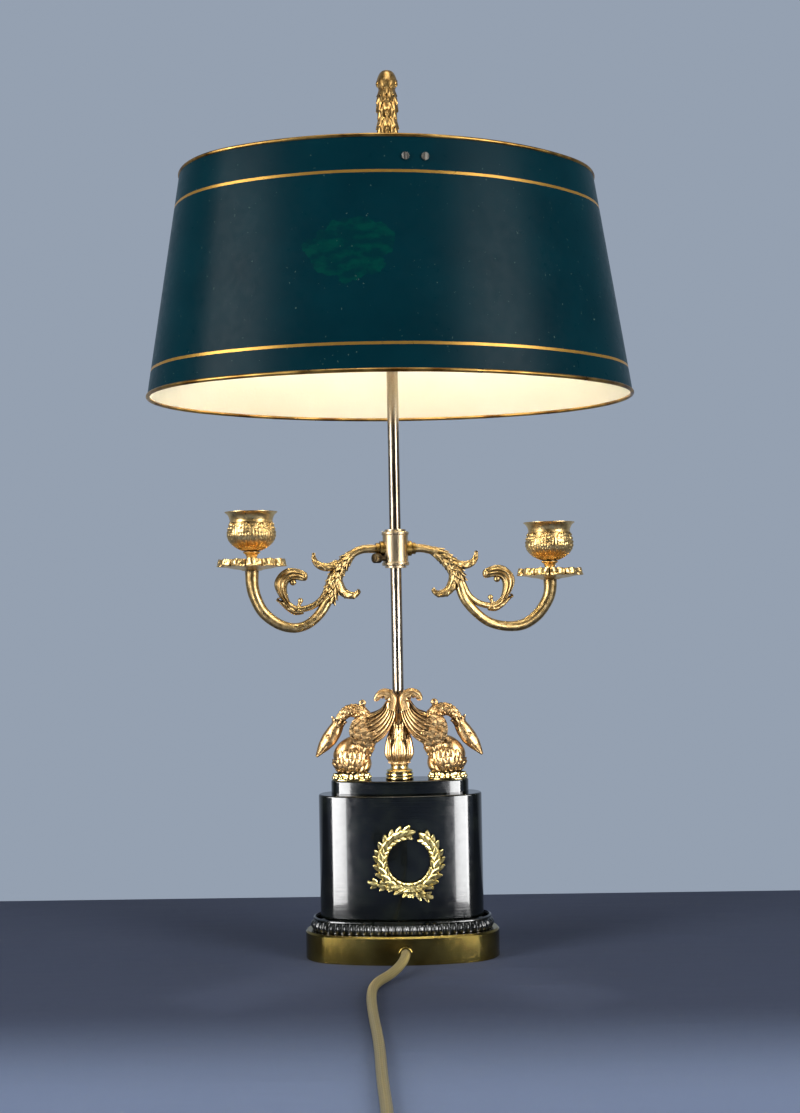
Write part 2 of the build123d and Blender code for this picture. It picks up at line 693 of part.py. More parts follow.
# ---- shade ---------------------------------------------------------------------------------------
shade_top = shade_base + shade_height
strap_z = shade_top - strap_drop                 # top face of the strap
finial_base = strap_z + finial_rise
rod_top = finial_base + rod_in_finial
draft = degrees(atan(shade_inset / shade_height))


def tapered(plan, z, height, inset=0.0):
    return extrude(oval(plan, inset, z), height, taper=draft)


def shade_shell():
    shell = tapered(shade_plan, shade_base, shade_height)
    shell -= tapered(shade_plan, shade_base, shade_height, shade_wall)
    for y_side in (-1, 1):
        for x in (-rivet_spacing / 2, rivet_spacing / 2):
            shell -= rivet_bar(x, y_side, rivet_r)
    return Rot(0, 0, shade_turn) * shell


def shade_rim(plan_inset, z):
    path = oval(shade_plan, plan_inset, z).outer_wire()
    section = Plane(origin=path @ 0, z_dir=path % 0) * Circle(rim_r)
    return Rot(0, 0, shade_turn) * sweep(section, path=path)


def wall_y(drop):
    """Half depth of the shade's outer face at this drop below its top rim."""
    return shade_plan[1] - shade_inset + shade_inset * drop / shade_height


def shade_strap():
    half_length = wall_y(strap_drop) - shade_wall
    strap = Pos(0, 0, strap_z - strap_thickness / 2) * Box(strap_width, 2 * half_length + 4, strap_thickness)
    eye = rod_bore(strap_eye_r, strap_z - strap_thickness, strap_thickness)
    strap += eye
    inner = tapered(shade_plan, shade_base, shade_height, shade_wall)
    strap &= inner
    tabs = inner - tapered(shade_plan, shade_base, shade_height, shade_wall + strap_thickness)
    tabs &= Pos(0, 0, strap_z - strap_tab / 2) * Box(strap_width, 3 * half_length, strap_tab)
    strap += tabs
    strap -= rod_bore(sleeve_r + running_gap, strap_z - strap_thickness, strap_thickness)
    for y_side in (-1, 1):
        for x in (-rivet_spacing / 2, rivet_spacing / 2):
            strap -= rivet_bar(x, y_side, rivet_r)
    return Rot(0, 0, shade_turn) * strap


def rivet_bar(x, y_side, radius, outwards=4.0, inwards=4.0):
    """Round bar through the shade's wall at the strap's tab."""
    drop = strap_drop + strap_tab / 2
    middle = y_side * (wall_y(drop) - shade_wall / 2 + (outwards - inwards) / 2)
    return Pos(x, middle, shade_top - drop) * Rot(90, 0, 0) * Cylinder(radius, outwards + inwards)


def shade_rivets():
    rivets = []
    wall = shade_wall + strap_thickness
    for y_side in (-1, 1):
        for x in (-rivet_spacing / 2, rivet_spacing / 2):
            shank = rivet_bar(x, y_side, rivet_r, 0.4, wall + rivet_head_height)
            head = rivet_bar(x, y_side, rivet_head_r, 0.4 + rivet_head_height, 0)
            rivets.append(shank + (head - tapered(shade_plan, shade_base, shade_height)))
    return Rot(0, 0, shade_turn) * Compound(rivets)


def shade_sleeve():
    base = strap_z - strap_thickness - sleeve_below
    height = sleeve_below + strap_thickness + sleeve_above
    flange_top = strap_z - strap_thickness - rest_gap
    sleeve = rod_bore(sleeve_r, base, height)
    sleeve += rod_bore(sleeve_flange_r, flange_top - sleeve_flange_height, sleeve_flange_height)
    sleeve -= rod_bore(rod_r + running_gap, base, height)
    screw_hole = bar(thumb_shank_r + running_gap, 0, sleeve_flange_r, sleeve_screw_heading, sleeve_screw_z())
    return sleeve - screw_hole


def sleeve_nut():
    return hex_nut(sleeve_nut_flats, sleeve_r, strap_z + rest_gap, nut_height)


def sleeve_screw_z():
    return strap_z + sleeve_above - 3.6


def shade_thumbscrew():
    return thumbscrew(rod_r + rest_gap, sleeve_r, sleeve_screw_heading, sleeve_screw_z())


# ---- finial --------------------------------------------------------------------------------------
def finial():
    seat = rod_bore(finial_seat_r, finial_base, finial_seat_height)
    seat = fillet(seat.edges().filter_by(GeomType.CIRCLE), finial_seat_height / 3)
    seat += rod_bore(finial_stem_r, finial_base, finial_sections[0][0])
    bird = loft([Pos(0, y, finial_base + z) * Ellipse(w, d) for z, y, w, d in finial_sections])
    tip_y, tip_z, root_r = finial_beak
    root = Plane(origin=(0, 6.0, finial_base + 62.5), z_dir=(0, tip_y - 6.0, tip_z - 62.5))
    beak = loft([root * Circle(root_r), root.offset(14.0) * Circle(0.7)])
    return seat + bird + beak - rod_bore(rod_r + screwed_gap, finial_base, rod_top - finial_base + rest_gap)


# ---- cord ----------------------------------------------------------------------------------------
def cord_bush():
    """Lipped brass bush in the foot's wall."""
    face_y = -foot_plan[1]
    lying = Pos(cord_exit[0], face_y, cord_exit[1]) * Rot(90, 0, 0)
    barrel = Cylinder(bush_barrel_r, foot_wall + bush_inside, align=(Align.CENTER, Align.CENTER, Align.MAX))
    lip = Cylinder(bush_lip_r, bush_lip, align=(Align.CENTER, Align.CENTER, Align.MIN))
    lip = fillet(lip.faces().sort_by(Axis.Z)[-1].edges(), 0.45 * bush_lip)
    return lying * (barrel + lip - Cylinder(bush_hole_r, 8 * foot_wall))


def switch_halves():
    width, length, height = switch_size
    centre_y = switch_near - length / 2
    shape = Pos(switch_x, centre_y, height / 2) * Box(width, length, height)
    shape = fillet(shape.edges().filter_by(Axis.Z), switch_corner_r)
    shape = chamfer(shape.faces().sort_by(Axis.Z)[-1].edges(), switch_chamfer)
    well_w, well_l, well_h = (size + 2 * rest_gap for size in rocker_size)
    well = Pos(switch_x, centre_y, height) * Box(well_w, well_l, 2 * well_h)
    shape -= well
    pivot = Cylinder(trunnion_r + running_gap, rocker_size[0] + 2 * (rest_gap + trunnion_depth + rest_gap))
    shape -= Pos(switch_x, centre_y, rocker_axle_z()) * Rot(0, 90, 0) * pivot
    low_box = Pos(switch_x, centre_y, switch_base_height / 2) * Box(2 * width, 2 * length, switch_base_height)
    lower = shape & low_box
    return lower, shape - lower


def rocker_axle_z():
    return switch_size[2] - rocker_size[2] / 2 + 1.0


def switch_rocker():
    """Rocker on two trunnions, tipped to its on side."""
    width, length, height = rocker_size
    crown = Rot(0, 90, 0) * Cylinder(length / 2 - 0.6, width)
    crown &= Pos(0, 0, 1.2) * Box(width, length, height - 4.2)
    crown += Rot(0, 90, 0) * Cylinder(trunnion_r, width + 2 * (rest_gap + trunnion_depth))
    centre_y = switch_near - switch_size[1] / 2
    return Pos(switch_x, centre_y, rocker_axle_z()) * Rot(rocker_tip, 0, 0) * crown


def cord_coil():
    outer = coil_outer_r + cord_r
    inner = coil_outer_r - coil_pitch * coil_turns_per_layer - cord_r
    return ring(outer, inner, 0, 2 * cord_r * coil_layers, *coil_centre)


def cord_tie():
    """Clip-on tie over the coil's far side."""
    outer = coil_outer_r + cord_r
    inner = coil_outer_r - coil_pitch * coil_turns_per_layer - cord_r
    height = 2 * cord_r * coil_layers
    middle = coil_centre[1] + (outer + inner) / 2
    over = Pos(coil_centre[0], middle, 0) * Box(
        tie_width, outer - inner + 2 * tie_thickness, height + tie_thickness,
        align=(Align.CENTER, Align.CENTER, Align.MIN))
    return over - cord_coil()


def plug_body():
    length, width, height = plug_size
    box = Pos(plug_face - length / 2, tail_route[-1][1], plug_axis_z) * Box(length, width, height)
    cord_end = box.faces().sort_by(Axis.X)[-1].edges().filter_by(Axis.Z)
    narrow = chamfer(cord_end, plug_shoulder, plug_shoulder)
    return fillet(narrow.edges().filter_by(Axis.X), plug_round)


def plug_pins():
    start = plug_face - plug_size[0]
    pins = []
    for side in (-1, 1):
        place = Pos(start, tail_route[-1][1] + side * plug_pin_spacing / 2, plug_axis_z) * Rot(0, -90, 0)
        pin = Cylinder(plug_pin_r, plug_pin_length, align=(Align.CENTER, Align.CENTER, Align.MIN))
        pins.append(place * fillet(pin.faces().sort_by(Axis.Z)[-1].edges(), plug_pin_r * 0.6))
    return Compound(pins)


# ---- all the nodes -------------------------------------------------------------------------------
lower_half, upper_half = switch_halves()
nodes = {
    "felt_pad": felt_pad(), "base_plate": base_plate(), "foot_ring": foot_ring(),
    "ring_screws": ring_screws(), "bead_moulding": bead_moulding(), "base_body": base_body(),
    "base_step": base_step(), "ballast": ballast(),
    "rod_nuts": rod_nuts(), "lamp_rod": lamp_rod(), "supply_lead": supply_lead(),
    "bud_socle": bud_socle(), "bud": bud(), "swan_plinths": swan_plinths(), "swan_left": swan(-1),
    "swan_right": swan(1), "swan_studs": swan_studs(), "swan_nuts": swan_nuts(),
    "wreath_rear": wreath(-1, wreath_x), "wreath_front": wreath(1, 0.0), "wreath_pins": wreath_pins(),
    "collar_bush": collar_bush(), "collar_cap": collar_cap(), "collar": collar(), "cup_studs": cup_studs(),
    "collar_thumbscrew": collar_thumbscrew(), "cluster_hub": cluster_hub(), "cluster_screw": cluster_screw(),
    "lampholder_left": lampholder(-1), "lampholder_right": lampholder(1), "bulb_left": bulb(-1),
    "bulb_right": bulb(1), "shade_shell": shade_shell(),
    "shade_bottom_rim": shade_rim(shade_wall / 2, shade_base),
    "shade_top_rim": shade_rim(shade_inset + shade_wall / 2, shade_top), "shade_strap": shade_strap(),
    "shade_rivets": shade_rivets(), "shade_sleeve": shade_sleeve(), "sleeve_nut": sleeve_nut(),
    "shade_thumbscrew": shade_thumbscrew(), "finial": finial(), "cord_bush": cord_bush(),
    "cord_lead": cord_tube("cord_lead", lead_route), "cord_mid": cord_tube("cord_mid", mid_route),
    "cord_tail": cord_tube("cord_tail", tail_route), "cord_coil": cord_coil(), "cord_tie": cord_tie(),
    "switch_base": lower_half, "switch_cover": upper_half, "switch_rocker": switch_rocker(),
    "plug_body": plug_body(), "plug_pins": plug_pins()}
for side in ("left", "right"):
    nodes["ferrule_" + side] = ferrule(side)
    nodes["arm_" + side] = arm(side)
    nodes["drip_pan_" + side] = drip_pan(side)
    nodes["candle_cup_" + side] = candle_cup(side)

for name, shape in nodes.items():
    export_step(shape, "parts/" + name + ".step")
print(len(nodes), "nodes")
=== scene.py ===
import bmesh
import bpy
from math import acos, asin, atan2, cos, floor, pi, radians, sin, sqrt
from mathutils import Matrix, Vector


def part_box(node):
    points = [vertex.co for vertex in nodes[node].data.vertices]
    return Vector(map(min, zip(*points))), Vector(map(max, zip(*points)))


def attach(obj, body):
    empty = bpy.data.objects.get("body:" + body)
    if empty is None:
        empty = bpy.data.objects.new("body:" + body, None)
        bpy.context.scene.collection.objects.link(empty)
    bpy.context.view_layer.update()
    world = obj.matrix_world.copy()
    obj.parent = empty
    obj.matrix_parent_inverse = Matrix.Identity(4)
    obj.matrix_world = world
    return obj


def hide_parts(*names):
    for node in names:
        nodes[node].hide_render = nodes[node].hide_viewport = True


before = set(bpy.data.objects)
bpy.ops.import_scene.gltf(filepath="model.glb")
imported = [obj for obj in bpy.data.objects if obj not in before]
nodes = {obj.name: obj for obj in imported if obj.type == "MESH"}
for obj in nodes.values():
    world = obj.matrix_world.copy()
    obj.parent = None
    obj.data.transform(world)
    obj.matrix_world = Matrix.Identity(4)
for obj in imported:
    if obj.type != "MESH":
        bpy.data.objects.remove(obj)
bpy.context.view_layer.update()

# ---- Camera ----
# A portrait camera a metre in front of the lamp, at the height of its swans and looking a little up.
# It stands slightly to the right and leans one degree.
def new_object(name, data):
    """Object with this data, put in the scene."""
    made = bpy.data.objects.new(name, data)
    bpy.context.scene.collection.objects.link(made)
    return made


camera_place = Vector((0.03056, -1.04856, 0.246))
camera_swing = Matrix.Rotation(radians(1.5), 4, "Z")
camera_tilt = Matrix.Rotation(radians(91.66), 4, "X")
camera_lean = Matrix.Rotation(radians(-1.08), 4, "Z")
camera = new_object("camera", bpy.data.cameras.new("camera"))
camera.data.lens = 48.52
camera.data.sensor_width = 36.0
camera.matrix_world = Matrix.Translation(camera_place) @ camera_swing @ camera_tilt @ camera_lean
bpy.context.scene.camera = camera
bpy.context.scene.view_settings.view_transform = "Standard"


# ---- Flex ----
# Old-gold silk flex, 6.3 mm across. It leaves a bush in the foot, runs forward over the table to a switch,
# and what isn't in use is wound into a flat coil of two layers that ends in the plug.
def clip(value):
    """The value, kept from 0 to 1."""
    return min(max(value, 0), 1)


def polar(radius, angle, height=0.0):
    """Place at a radius and an angle from the Z axis."""
    return Vector((radius * cos(angle), radius * sin(angle), height))


flex_r = 0.00315
lead_route = [
    (0.0028, -0.034, 0.0081), (0.0028, -0.049, 0.0081), (-0.0042, -0.068, 0.0042), (-0.0155, -0.09, flex_r),
    (-0.017, -0.118, flex_r), (-0.0132, -0.165, flex_r), (-0.0072, -0.222, flex_r), (-0.0036, -0.28, flex_r),
    (0.0005, -0.326, flex_r), (0.0018, -0.352, 0.0032), (0.003, -0.374, 0.0075), (0.003, -0.388, 0.0075)]
mid_route = [
    (0.003, -0.448, 0.0075), (0.003, -0.463, 0.0075), (-0.0035, -0.481, 0.0046), (-0.019, -0.495, 0.0032),
    (-0.041, -0.5, flex_r)]
tail_route = [(-0.078, -0.5004, 0.0092), (-0.095, -0.4998, 0.0066), (-0.112, -0.4998, 0.0066)]
coil_centre = Vector((-0.062, -0.456, 0))
coil_outer_r, coil_pitch, coil_turns = 0.0442, 0.0064, 3
coil_low_z, coil_high_z = flex_r, 3 * flex_r
points_per_turn = 16
braid_pitch, braid_strands = 0.0042, 8


def coil_points():
    """Two flat layers of turns: inwards on the table, up at the middle, and outwards on top."""
    count = 2 * coil_turns * points_per_turn
    points = []
    for step in range(count + 1):
        turns = step / points_per_turn
        inward = coil_turns - abs(turns - coil_turns)
        radius = (coil_outer_r - coil_pitch * inward) / cos(pi / points_per_turn) ** 0.5
        rise = clip(2 * (turns - coil_turns) + 0.5)
        angle = -pi / 2 - 2 * pi * turns
        height = coil_low_z + (coil_high_z - coil_low_z) * rise
        points.append(coil_centre + polar(radius, angle, height))
    return points


def new_node(tree, kind, inputs=(), **settings):
    """Shader node with its settings; each input takes a plain value or the socket that feeds it."""
    node = tree.nodes.new("ShaderNode" + kind)
    for name, value in settings.items():
        setattr(node, name, value)
    for name, value in dict(inputs).items():
        if isinstance(value, bpy.types.NodeSocket):
            tree.links.new(value, node.inputs[name])
        else:
            node.inputs[name].default_value = value
    return node


def maths(tree, operation, *values):
    """Result of a sum on sockets and plain numbers."""
    return new_node(tree, "Math", enumerate(values), operation=operation).outputs[0]


def new_finish(name, **settings):
    """Finish whose shader takes these plain values."""
    finish = bpy.data.materials.new(name)
    finish.use_nodes = True
    shader = finish.node_tree.nodes["Principled BSDF"]
    for socket, value in settings.items():
        shader.inputs[socket.replace("_", " ")].default_value = value
    return finish


def blend(tree, factor, low, high):
    """Colour that goes from low to high with the factor."""
    return new_node(tree, "Mix", {0: factor, 6: low, 7: high}, data_type="RGBA").outputs[2]


def lead_colour(finish, factor, low, high):
    """Give a finish the colour that goes from low to high with the factor."""
    tree = finish.node_tree
    mixed = blend(tree, factor, low, high)
    tree.links.new(mixed, tree.nodes["Principled BSDF"].inputs["Base Color"])
    return mixed


def relief(finish, height, depth, strength=1.0):
    """Surface that rises with the height, on top of any relief before it."""
    tree = finish.node_tree
    normal = tree.nodes["Principled BSDF"].inputs["Normal"]
    bump = new_node(tree, "Bump", {"Height": height, "Distance": depth, "Strength": strength})
    if normal.is_linked:
        tree.links.new(normal.links[0].from_socket, bump.inputs["Normal"])
    tree.links.new(bump.outputs[0], normal)


def silk_finish(name, length):
    """Two-way braid in old gold, drawn along the flex's own UV map."""
    finish = new_finish(name, Roughness=0.42, Sheen_Weight=0.12, Sheen_Roughness=0.35)
    tree = finish.node_tree
    place = new_node(tree, "SeparateXYZ", {0: new_node(tree, "UVMap").outputs["UV"]}).outputs
    waves = []
    for way in (-1, 1):
        lengthwise = maths(tree, "MULTIPLY", place["X"], way * length / braid_pitch * 2 * pi)
        phase = maths(tree, "MULTIPLY_ADD", place["Y"], braid_strands * 2 * pi, lengthwise)
        waves.append(maths(tree, "SINE", phase))
    height = maths(tree, "MULTIPLY_ADD", maths(tree, "MULTIPLY", *waves), 0.5, 0.5)
    lead_colour(finish, height, (0.13, 0.10, 0.035, 1), (0.24, 0.195, 0.078, 1))
    relief(finish, height, 0.0002, 0.4)
    return finish


def flex(name, points, length):
    """Silk flex along a smooth line through the route."""
    curve = bpy.data.curves.new(name, "CURVE")
    curve.dimensions = "3D"
    curve.resolution_u = 8
    curve.bevel_depth = flex_r
    curve.bevel_resolution = 5
    curve.use_fill_caps = True
    spline = curve.splines.new("NURBS")
    spline.points.add(len(points) - 1)
    for control, place in zip(spline.points, points):
        control.co = (*place, 1)
    spline.order_u = 3
    spline.use_endpoint_u = True
    piece = new_object(name, curve)
    curve.materials.append(silk_finish(name + "_silk", length))
    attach(piece, "base")
    return piece


lead = flex("flex_lead", lead_route, 0.359)
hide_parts("cord_lead")
stored = flex("flex_stored", mid_route + coil_points() + tail_route, 1.45)
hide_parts("cord_mid", "cord_coil", "cord_tail")

# ---- Foot ----
# A cast and spun ring of lacquered brass, weighted with an iron block, closed below by a steel plate that
# is faced with felt. A brass bush lets the flex out.
def tone(red, green, blue):
    """Linear colour of a tint that is given as it looks, 0 to 255."""
    return tuple((value / 255) ** 2.2 for value in (red, green, blue)) + (1,)


def speckle(finish, scale, low=0.3, high=0.7, detail=4.0, stretch=(1, 1, 1)):
    """Cloudy marks over the piece, from 0 to 1, at their real size."""
    tree = finish.node_tree
    place = new_node(tree, "TexCoord").outputs["Object"]
    place = new_node(tree, "Mapping", {"Vector": place, "Scale": stretch})
    noise = new_node(tree, "TexNoise", {"Vector": place.outputs[0], "Scale": scale, "Detail": detail})
    span = {"Value": noise.outputs["Fac"], "From Min": low, "From Max": high}
    return new_node(tree, "MapRange", span).outputs[0]


def hollow_shade_and_patina(finish, reach):
    """Painted shade and patina: 0 deep in a hollow up to this far across, 1 on open surfaces."""
    tree = finish.node_tree
    shut_in = new_node(tree, "AmbientOcclusion", {"Distance": reach}, samples=8)
    span = {"Value": shut_in.outputs["AO"], "From Min": 0.38, "From Max": 0.95}
    return new_node(tree, "MapRange", span).outputs[0]


def lead_value(finish, factor, low, high, socket="Roughness"):
    """Give a finish a number that goes from low to high with the factor."""
    tree = finish.node_tree
    spread = new_node(tree, "MapRange", {"Value": factor, "To Min": low, "To Max": high})
    tree.links.new(spread.outputs[0], tree.nodes["Principled BSDF"].inputs[socket])


def dress(finish, *names):
    """Give nodes of the frame their finish."""
    for name in names:
        nodes[name].data.materials.clear()
        nodes[name].data.materials.append(finish)


def spun_brass(name, pale, brown, roughness, across=(1, 1, 1)):
    """Lacquered brass with clouds of tarnish and fine marks from its turning."""
    finish = new_finish(name, Metallic=1.0, Roughness=roughness)
    lead_colour(finish, speckle(finish, 55, 0.35, 0.68, 6), tone(*brown), tone(*pale))
    lead_value(finish, speckle(finish, 130, 0.3, 0.7), roughness * 0.75, roughness * 1.35)
    relief(finish, speckle(finish, 900, 0.2, 0.8, 2, across), 0.00004, 0.6)
    return finish


def iron_finish():
    """Rough cast iron under a thin grey paint."""
    finish = new_finish("cast_iron", Metallic=0.6, Roughness=0.8)
    lead_colour(finish, speckle(finish, 220), tone(52, 50, 48), tone(96, 92, 88))
    relief(finish, speckle(finish, 380, 0.1, 0.9, 8), 0.0004, 0.8)
    return finish


def steel_finish():
    """Zinc-plated steel of screws, nuts and plates."""
    finish = new_finish("plated_steel", Metallic=1.0, Roughness=0.35)
    lead_colour(finish, speckle(finish, 300), tone(150, 146, 138), tone(205, 203, 198))
    lead_value(finish, speckle(finish, 500), 0.25, 0.5)
    return finish


def felt_finish():
    """Dark green wool felt, matted and a little dusty."""
    finish = new_finish("wool_felt", Roughness=1.0, Sheen_Weight=0.6)
    lead_colour(finish, speckle(finish, 700, 0.2, 0.8, 8), tone(22, 44, 34), tone(44, 72, 56))
    relief(finish, speckle(finish, 1400, 0.1, 0.9, 8), 0.0004)
    return finish


steel = steel_finish()
dress(spun_brass("foot_brass", (158, 140, 80), (120, 102, 52), 0.14, (1, 1, 30)), "foot_ring", "cord_bush")
dress(felt_finish(), "felt_pad")
dress(steel, "base_plate", "ring_screws", "rod_nuts", "swan_studs", "swan_nuts", "cup_studs")
dress(iron_finish(), "ballast")

# ---- Ribbed moulding ----
# A turned wooden moulding with upright ribs and a plain fillet over them, lacquered black as the body is.
rib_count, points_per_rib = 62, 8
moulding_end_r = 0.0229
# inset from the widest line, height over the foot, depth of the grooves between ribs
moulding_rows = [
    (0.0040, 0.0, 0.0), (0.0012, 0.0004, 0.0), (0.0008, 0.0012, 0.0006), (0.0, 0.0026, 0.0012),
    (0.0001, 0.0042, 0.0013), (0.0008, 0.0056, 0.0012), (0.0022, 0.0066, 0.0004), (0.0027, 0.0070, 0.0),
    (0.0020, 0.0072, 0.0), (0.0017, 0.0077, 0.0), (0.0018, 0.0084, 0.0), (0.0032, 0.0090, 0.0)]


def side_radius(half_w, half_d, end_r):
    """Radius of the long sides of an oval of four arcs."""
    return ((half_w - end_r) ** 2 + half_d ** 2 - end_r ** 2) / (2 * (half_d - end_r))


def oval_places(half_w, half_d, end_r, count):
    """Even places round an oval of four arcs, each with its outward direction."""
    centre_x, side_r = half_w - end_r, side_radius(half_w, half_d, end_r)
    spread = asin(centre_x / (side_r - end_r))
    arcs = [(Vector((centre_x, 0)), end_r, spread - pi / 2, pi - 2 * spread),
            (Vector((0, half_d - side_r)), side_r, pi / 2 - spread, 2 * spread),
            (Vector((-centre_x, 0)), end_r, pi / 2 + spread, pi - 2 * spread),
            (Vector((0, side_r - half_d)), side_r, 1.5 * pi - spread, 2 * spread)]
    total = sum(radius * sweep for _, radius, _, sweep in arcs)
    places = []
    for index in range(count):
        walked = (index + 0.5) / count * total
        for centre, radius, start, sweep in arcs:
            if walked <= radius * sweep:
                angle = start + walked / radius
                outward = Vector((cos(angle), sin(angle)))
                places.append((centre + radius * outward, outward))
                break
            walked -= radius * sweep
    return places


def skin(work, rings, capped=True):
    """Skin over rings of places, one after another: a grid whose sides are joined, with its ends filled."""
    around = len(rings[0])
    grid = bmesh.ops.create_grid(work, x_segments=around, y_segments=len(rings) - 1, size=0.5)["verts"]
    for index, vert in enumerate(grid):
        vert.co = rings[index // (around + 1)][index % (around + 1) % around]
    edges = list({edge for vert in grid for edge in vert.link_edges})
    bmesh.ops.remove_doubles(work, verts=grid, dist=1e-7)
    if capped:
        open_edges = [edge for edge in edges if edge.is_valid and edge.is_boundary]
        bmesh.ops.holes_fill(work, edges=open_edges, sides=0)


def to_mesh(work, name):
    """Mesh of what has been worked out, whose working copy is let go."""
    mesh = bpy.data.meshes.new(name)
    work.to_mesh(mesh)
    work.free()
    return mesh


def set_piece(name, work, body, slot, finishes, *stands_for, crease=40):
    """Close up a mesh and mount it as a piece on a body of the lamp."""
    bmesh.ops.remove_doubles(work, verts=work.verts, dist=1e-6)
    bmesh.ops.recalc_face_normals(work, faces=work.faces)
    mesh = to_mesh(work, name)
    mesh.shade_smooth()
    mesh.set_sharp_from_angle(angle=radians(crease))
    for finish in finishes if isinstance(finishes, list) else [finishes]:
        mesh.materials.append(finish)
    piece = new_object(name, mesh)
    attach(piece, body)
    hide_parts(*stands_for)


def black_lacquer(name, roughness):
    """Deep black lacquer rubbed smooth, with faint brush marks and a few dull specks."""
    finish = new_finish(name, Coat_Weight=0.5, Coat_Roughness=0.04, Specular_IOR_Level=0.4)
    lead_colour(finish, speckle(finish, 60, 0.45, 0.8, 6), tone(9, 11, 10), tone(22, 25, 21))
    lead_value(finish, speckle(finish, 240, 0.3, 0.75, 6), roughness, roughness * 2.2)
    relief(finish, speckle(finish, 90, 0.2, 0.8, 3), 0.00002, 0.3)
    relief(finish, speckle(finish, 1600, 0.2, 0.8, 2, (0.02, 0.02, 1)), 0.00003, 0.7)
    return finish


low_corner, high_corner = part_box("bead_moulding")
work = bmesh.new()
rings = []
for inset, height, groove in moulding_rows:
    ring = []
    for index, (place, outward) in enumerate(
            oval_places(high_corner[0], high_corner[1], moulding_end_r, rib_count * points_per_rib)):
        valley = abs(cos(pi * index / points_per_rib)) ** 3
        point = place - outward * (inset + groove * valley)
        ring.append((*point, low_corner[2] + height))
    rings.append(ring)
skin(work, rings)
moulding_lacquer = black_lacquer("moulding_lacquer", 0.2)
set_piece("ribbed_moulding", work, "base", "moulding", moulding_lacquer, "bead_moulding", crease=35)

# ---- Lacquered body ----
# A hollow oval box with a smaller step on it, of wood under many coats of black lacquer.
dress(black_lacquer("body_lacquer", 0.1), "base_body", "base_step")

# ---- Laurel wreaths ----
# A cast and chased wreath in pale ormolu on each long face: two sprigs of laurel whose stems cross below
# and whose tips don't quite meet at the top. Three brads hold each one.
wreath_z = 0.0683
wreath_stem_r, wreath_ring_r = 0.0008, 0.0190
leaf_length, leaf_width = 0.0082, 0.0037
body_half_w, body_half_d, body_end_r = 0.0567, 0.022, 0.016


def smooth_line(points, steps):
    """Even curve through the points."""
    points = [Vector(point) for point in points]
    padded = [2 * points[0] - points[1]] + points + [2 * points[-1] - points[-2]]
    line = []
    for a, b, c, d in zip(padded, padded[1:], padded[2:], padded[3:]):
        for step in range(steps):
            t = step / steps
            line.append(0.5 * (2 * b + (c - a) * t + (2 * a - 5 * b + 4 * c - d) * t ** 2
                               + (3 * b - a - 3 * c + d) * t ** 3))
    return line + [points[-1]]


def round_angles(count, closed=False):
    """Even angles round a circle, with the first one again at the end when it is closed."""
    return [2 * pi * index / count for index in range(count + closed)]


def way_at(line, index):
    """Direction of a line at one of its points."""
    return line[min(index + 1, len(line) - 1)] - line[max(index - 1, 0)]


def rod_along(work, line, radii, sides=8, flat=1.0, side_way=(0, 1, 0)):
    """Round or flattened rod along a line, with closed ends.

    Its radius is a number, a list with one for each point, or a function of the point's and side's index."""
    rings = []
    for index, point in enumerate(line):
        ahead = way_at(line, index)
        across = Vector(side_way)
        across = (across - across.project(ahead)).normalized()
        up = ahead.normalized().cross(across)
        ring = []
        for side, angle in enumerate(round_angles(sides)):
            radius = radii(index, side) if callable(radii) else radii
            radius = radii[index] if isinstance(radii, list) else radius
            ring.append(point + radius * (flat * cos(angle) * across + sin(angle) * up))
        rings.append(ring)
    skin(work, rings)


def blade(name, rows, columns, place, thickness):
    """Thin closed leaf: a sheet whose points a formula puts in place, then given its thickness."""
    work = bmesh.new()
    bmesh.ops.create_grid(work, x_segments=columns, y_segments=rows, size=0.5)
    for vert in work.verts:
        vert.co = place(vert.co.y + 0.5, 2 * vert.co.x)
    bmesh.ops.remove_doubles(work, verts=work.verts, dist=1e-5)
    bmesh.ops.recalc_face_normals(work, faces=work.faces)
    bmesh.ops.solidify(work, geom=work.faces[:], thickness=thickness)
    return to_mesh(work, name)


def lay(work, mesh, matrix):
    """Add a copy of a mesh, turned and placed."""
    copy = mesh.copy()
    copy.transform(matrix)
    work.from_mesh(copy)
    bpy.data.meshes.remove(copy)


def ball(work, middle, size, around=16, up=10, turn=Matrix.Identity(4)):
    """Ball, or an egg when its size is given along each axis."""
    sizes = size if isinstance(size, tuple) else (size, size, size)
    place = Matrix.Translation(middle) @ turn @ Matrix.Diagonal((*sizes, 1))
    bmesh.ops.create_uvsphere(work, u_segments=around, v_segments=up, radius=1, matrix=place)


def laurel_leaf(u, v):
    """Pointed leaf along X, hollowed either side of its rib, with its tip turned up."""
    half = leaf_width / 2 * (sin(pi * min(u * 1.04, 1) ** 0.75) ** 0.8 + 0.03)
    rise = 0.0007 * (1 - abs(abs(v) * 2 - 1)) + 0.0005 * (1 - abs(v)) ** 4 + 0.0009 * u ** 2
    return Vector((leaf_length * u, half * v, rise))


def chased_gold(name, pale, mid, shade_and_patina_tint, roughness, reach=0.003):
    """Fire-gilt bronze: burnished where it stands proud, with painted shade and brown patina in its hollows.
    """
    finish = new_finish(name, Metallic=1.0, Roughness=roughness)
    body = lead_colour(finish, speckle(finish, 340, 0.3, 0.7, 6), tone(*mid), tone(*pale))
    # Ambient occlusion paints shade, together with brown patina, into the hollows.
    lead_colour(finish, hollow_shade_and_patina(finish, reach), tone(*shade_and_patina_tint), body)
    lead_value(finish, speckle(finish, 420, 0.25, 0.75, 6), roughness * 0.7, roughness * 1.4)
    relief(finish, speckle(finish, 1100, 0.2, 0.8, 3), 0.00003, 0.35)
    return finish


laurel = blade("laurel_leaf", 8, 6, laurel_leaf, 0.0005)
lemon_gold = chased_gold("lemon_gold", (236, 220, 158), (192, 172, 104), (70, 50, 16), 0.32, 0.002)


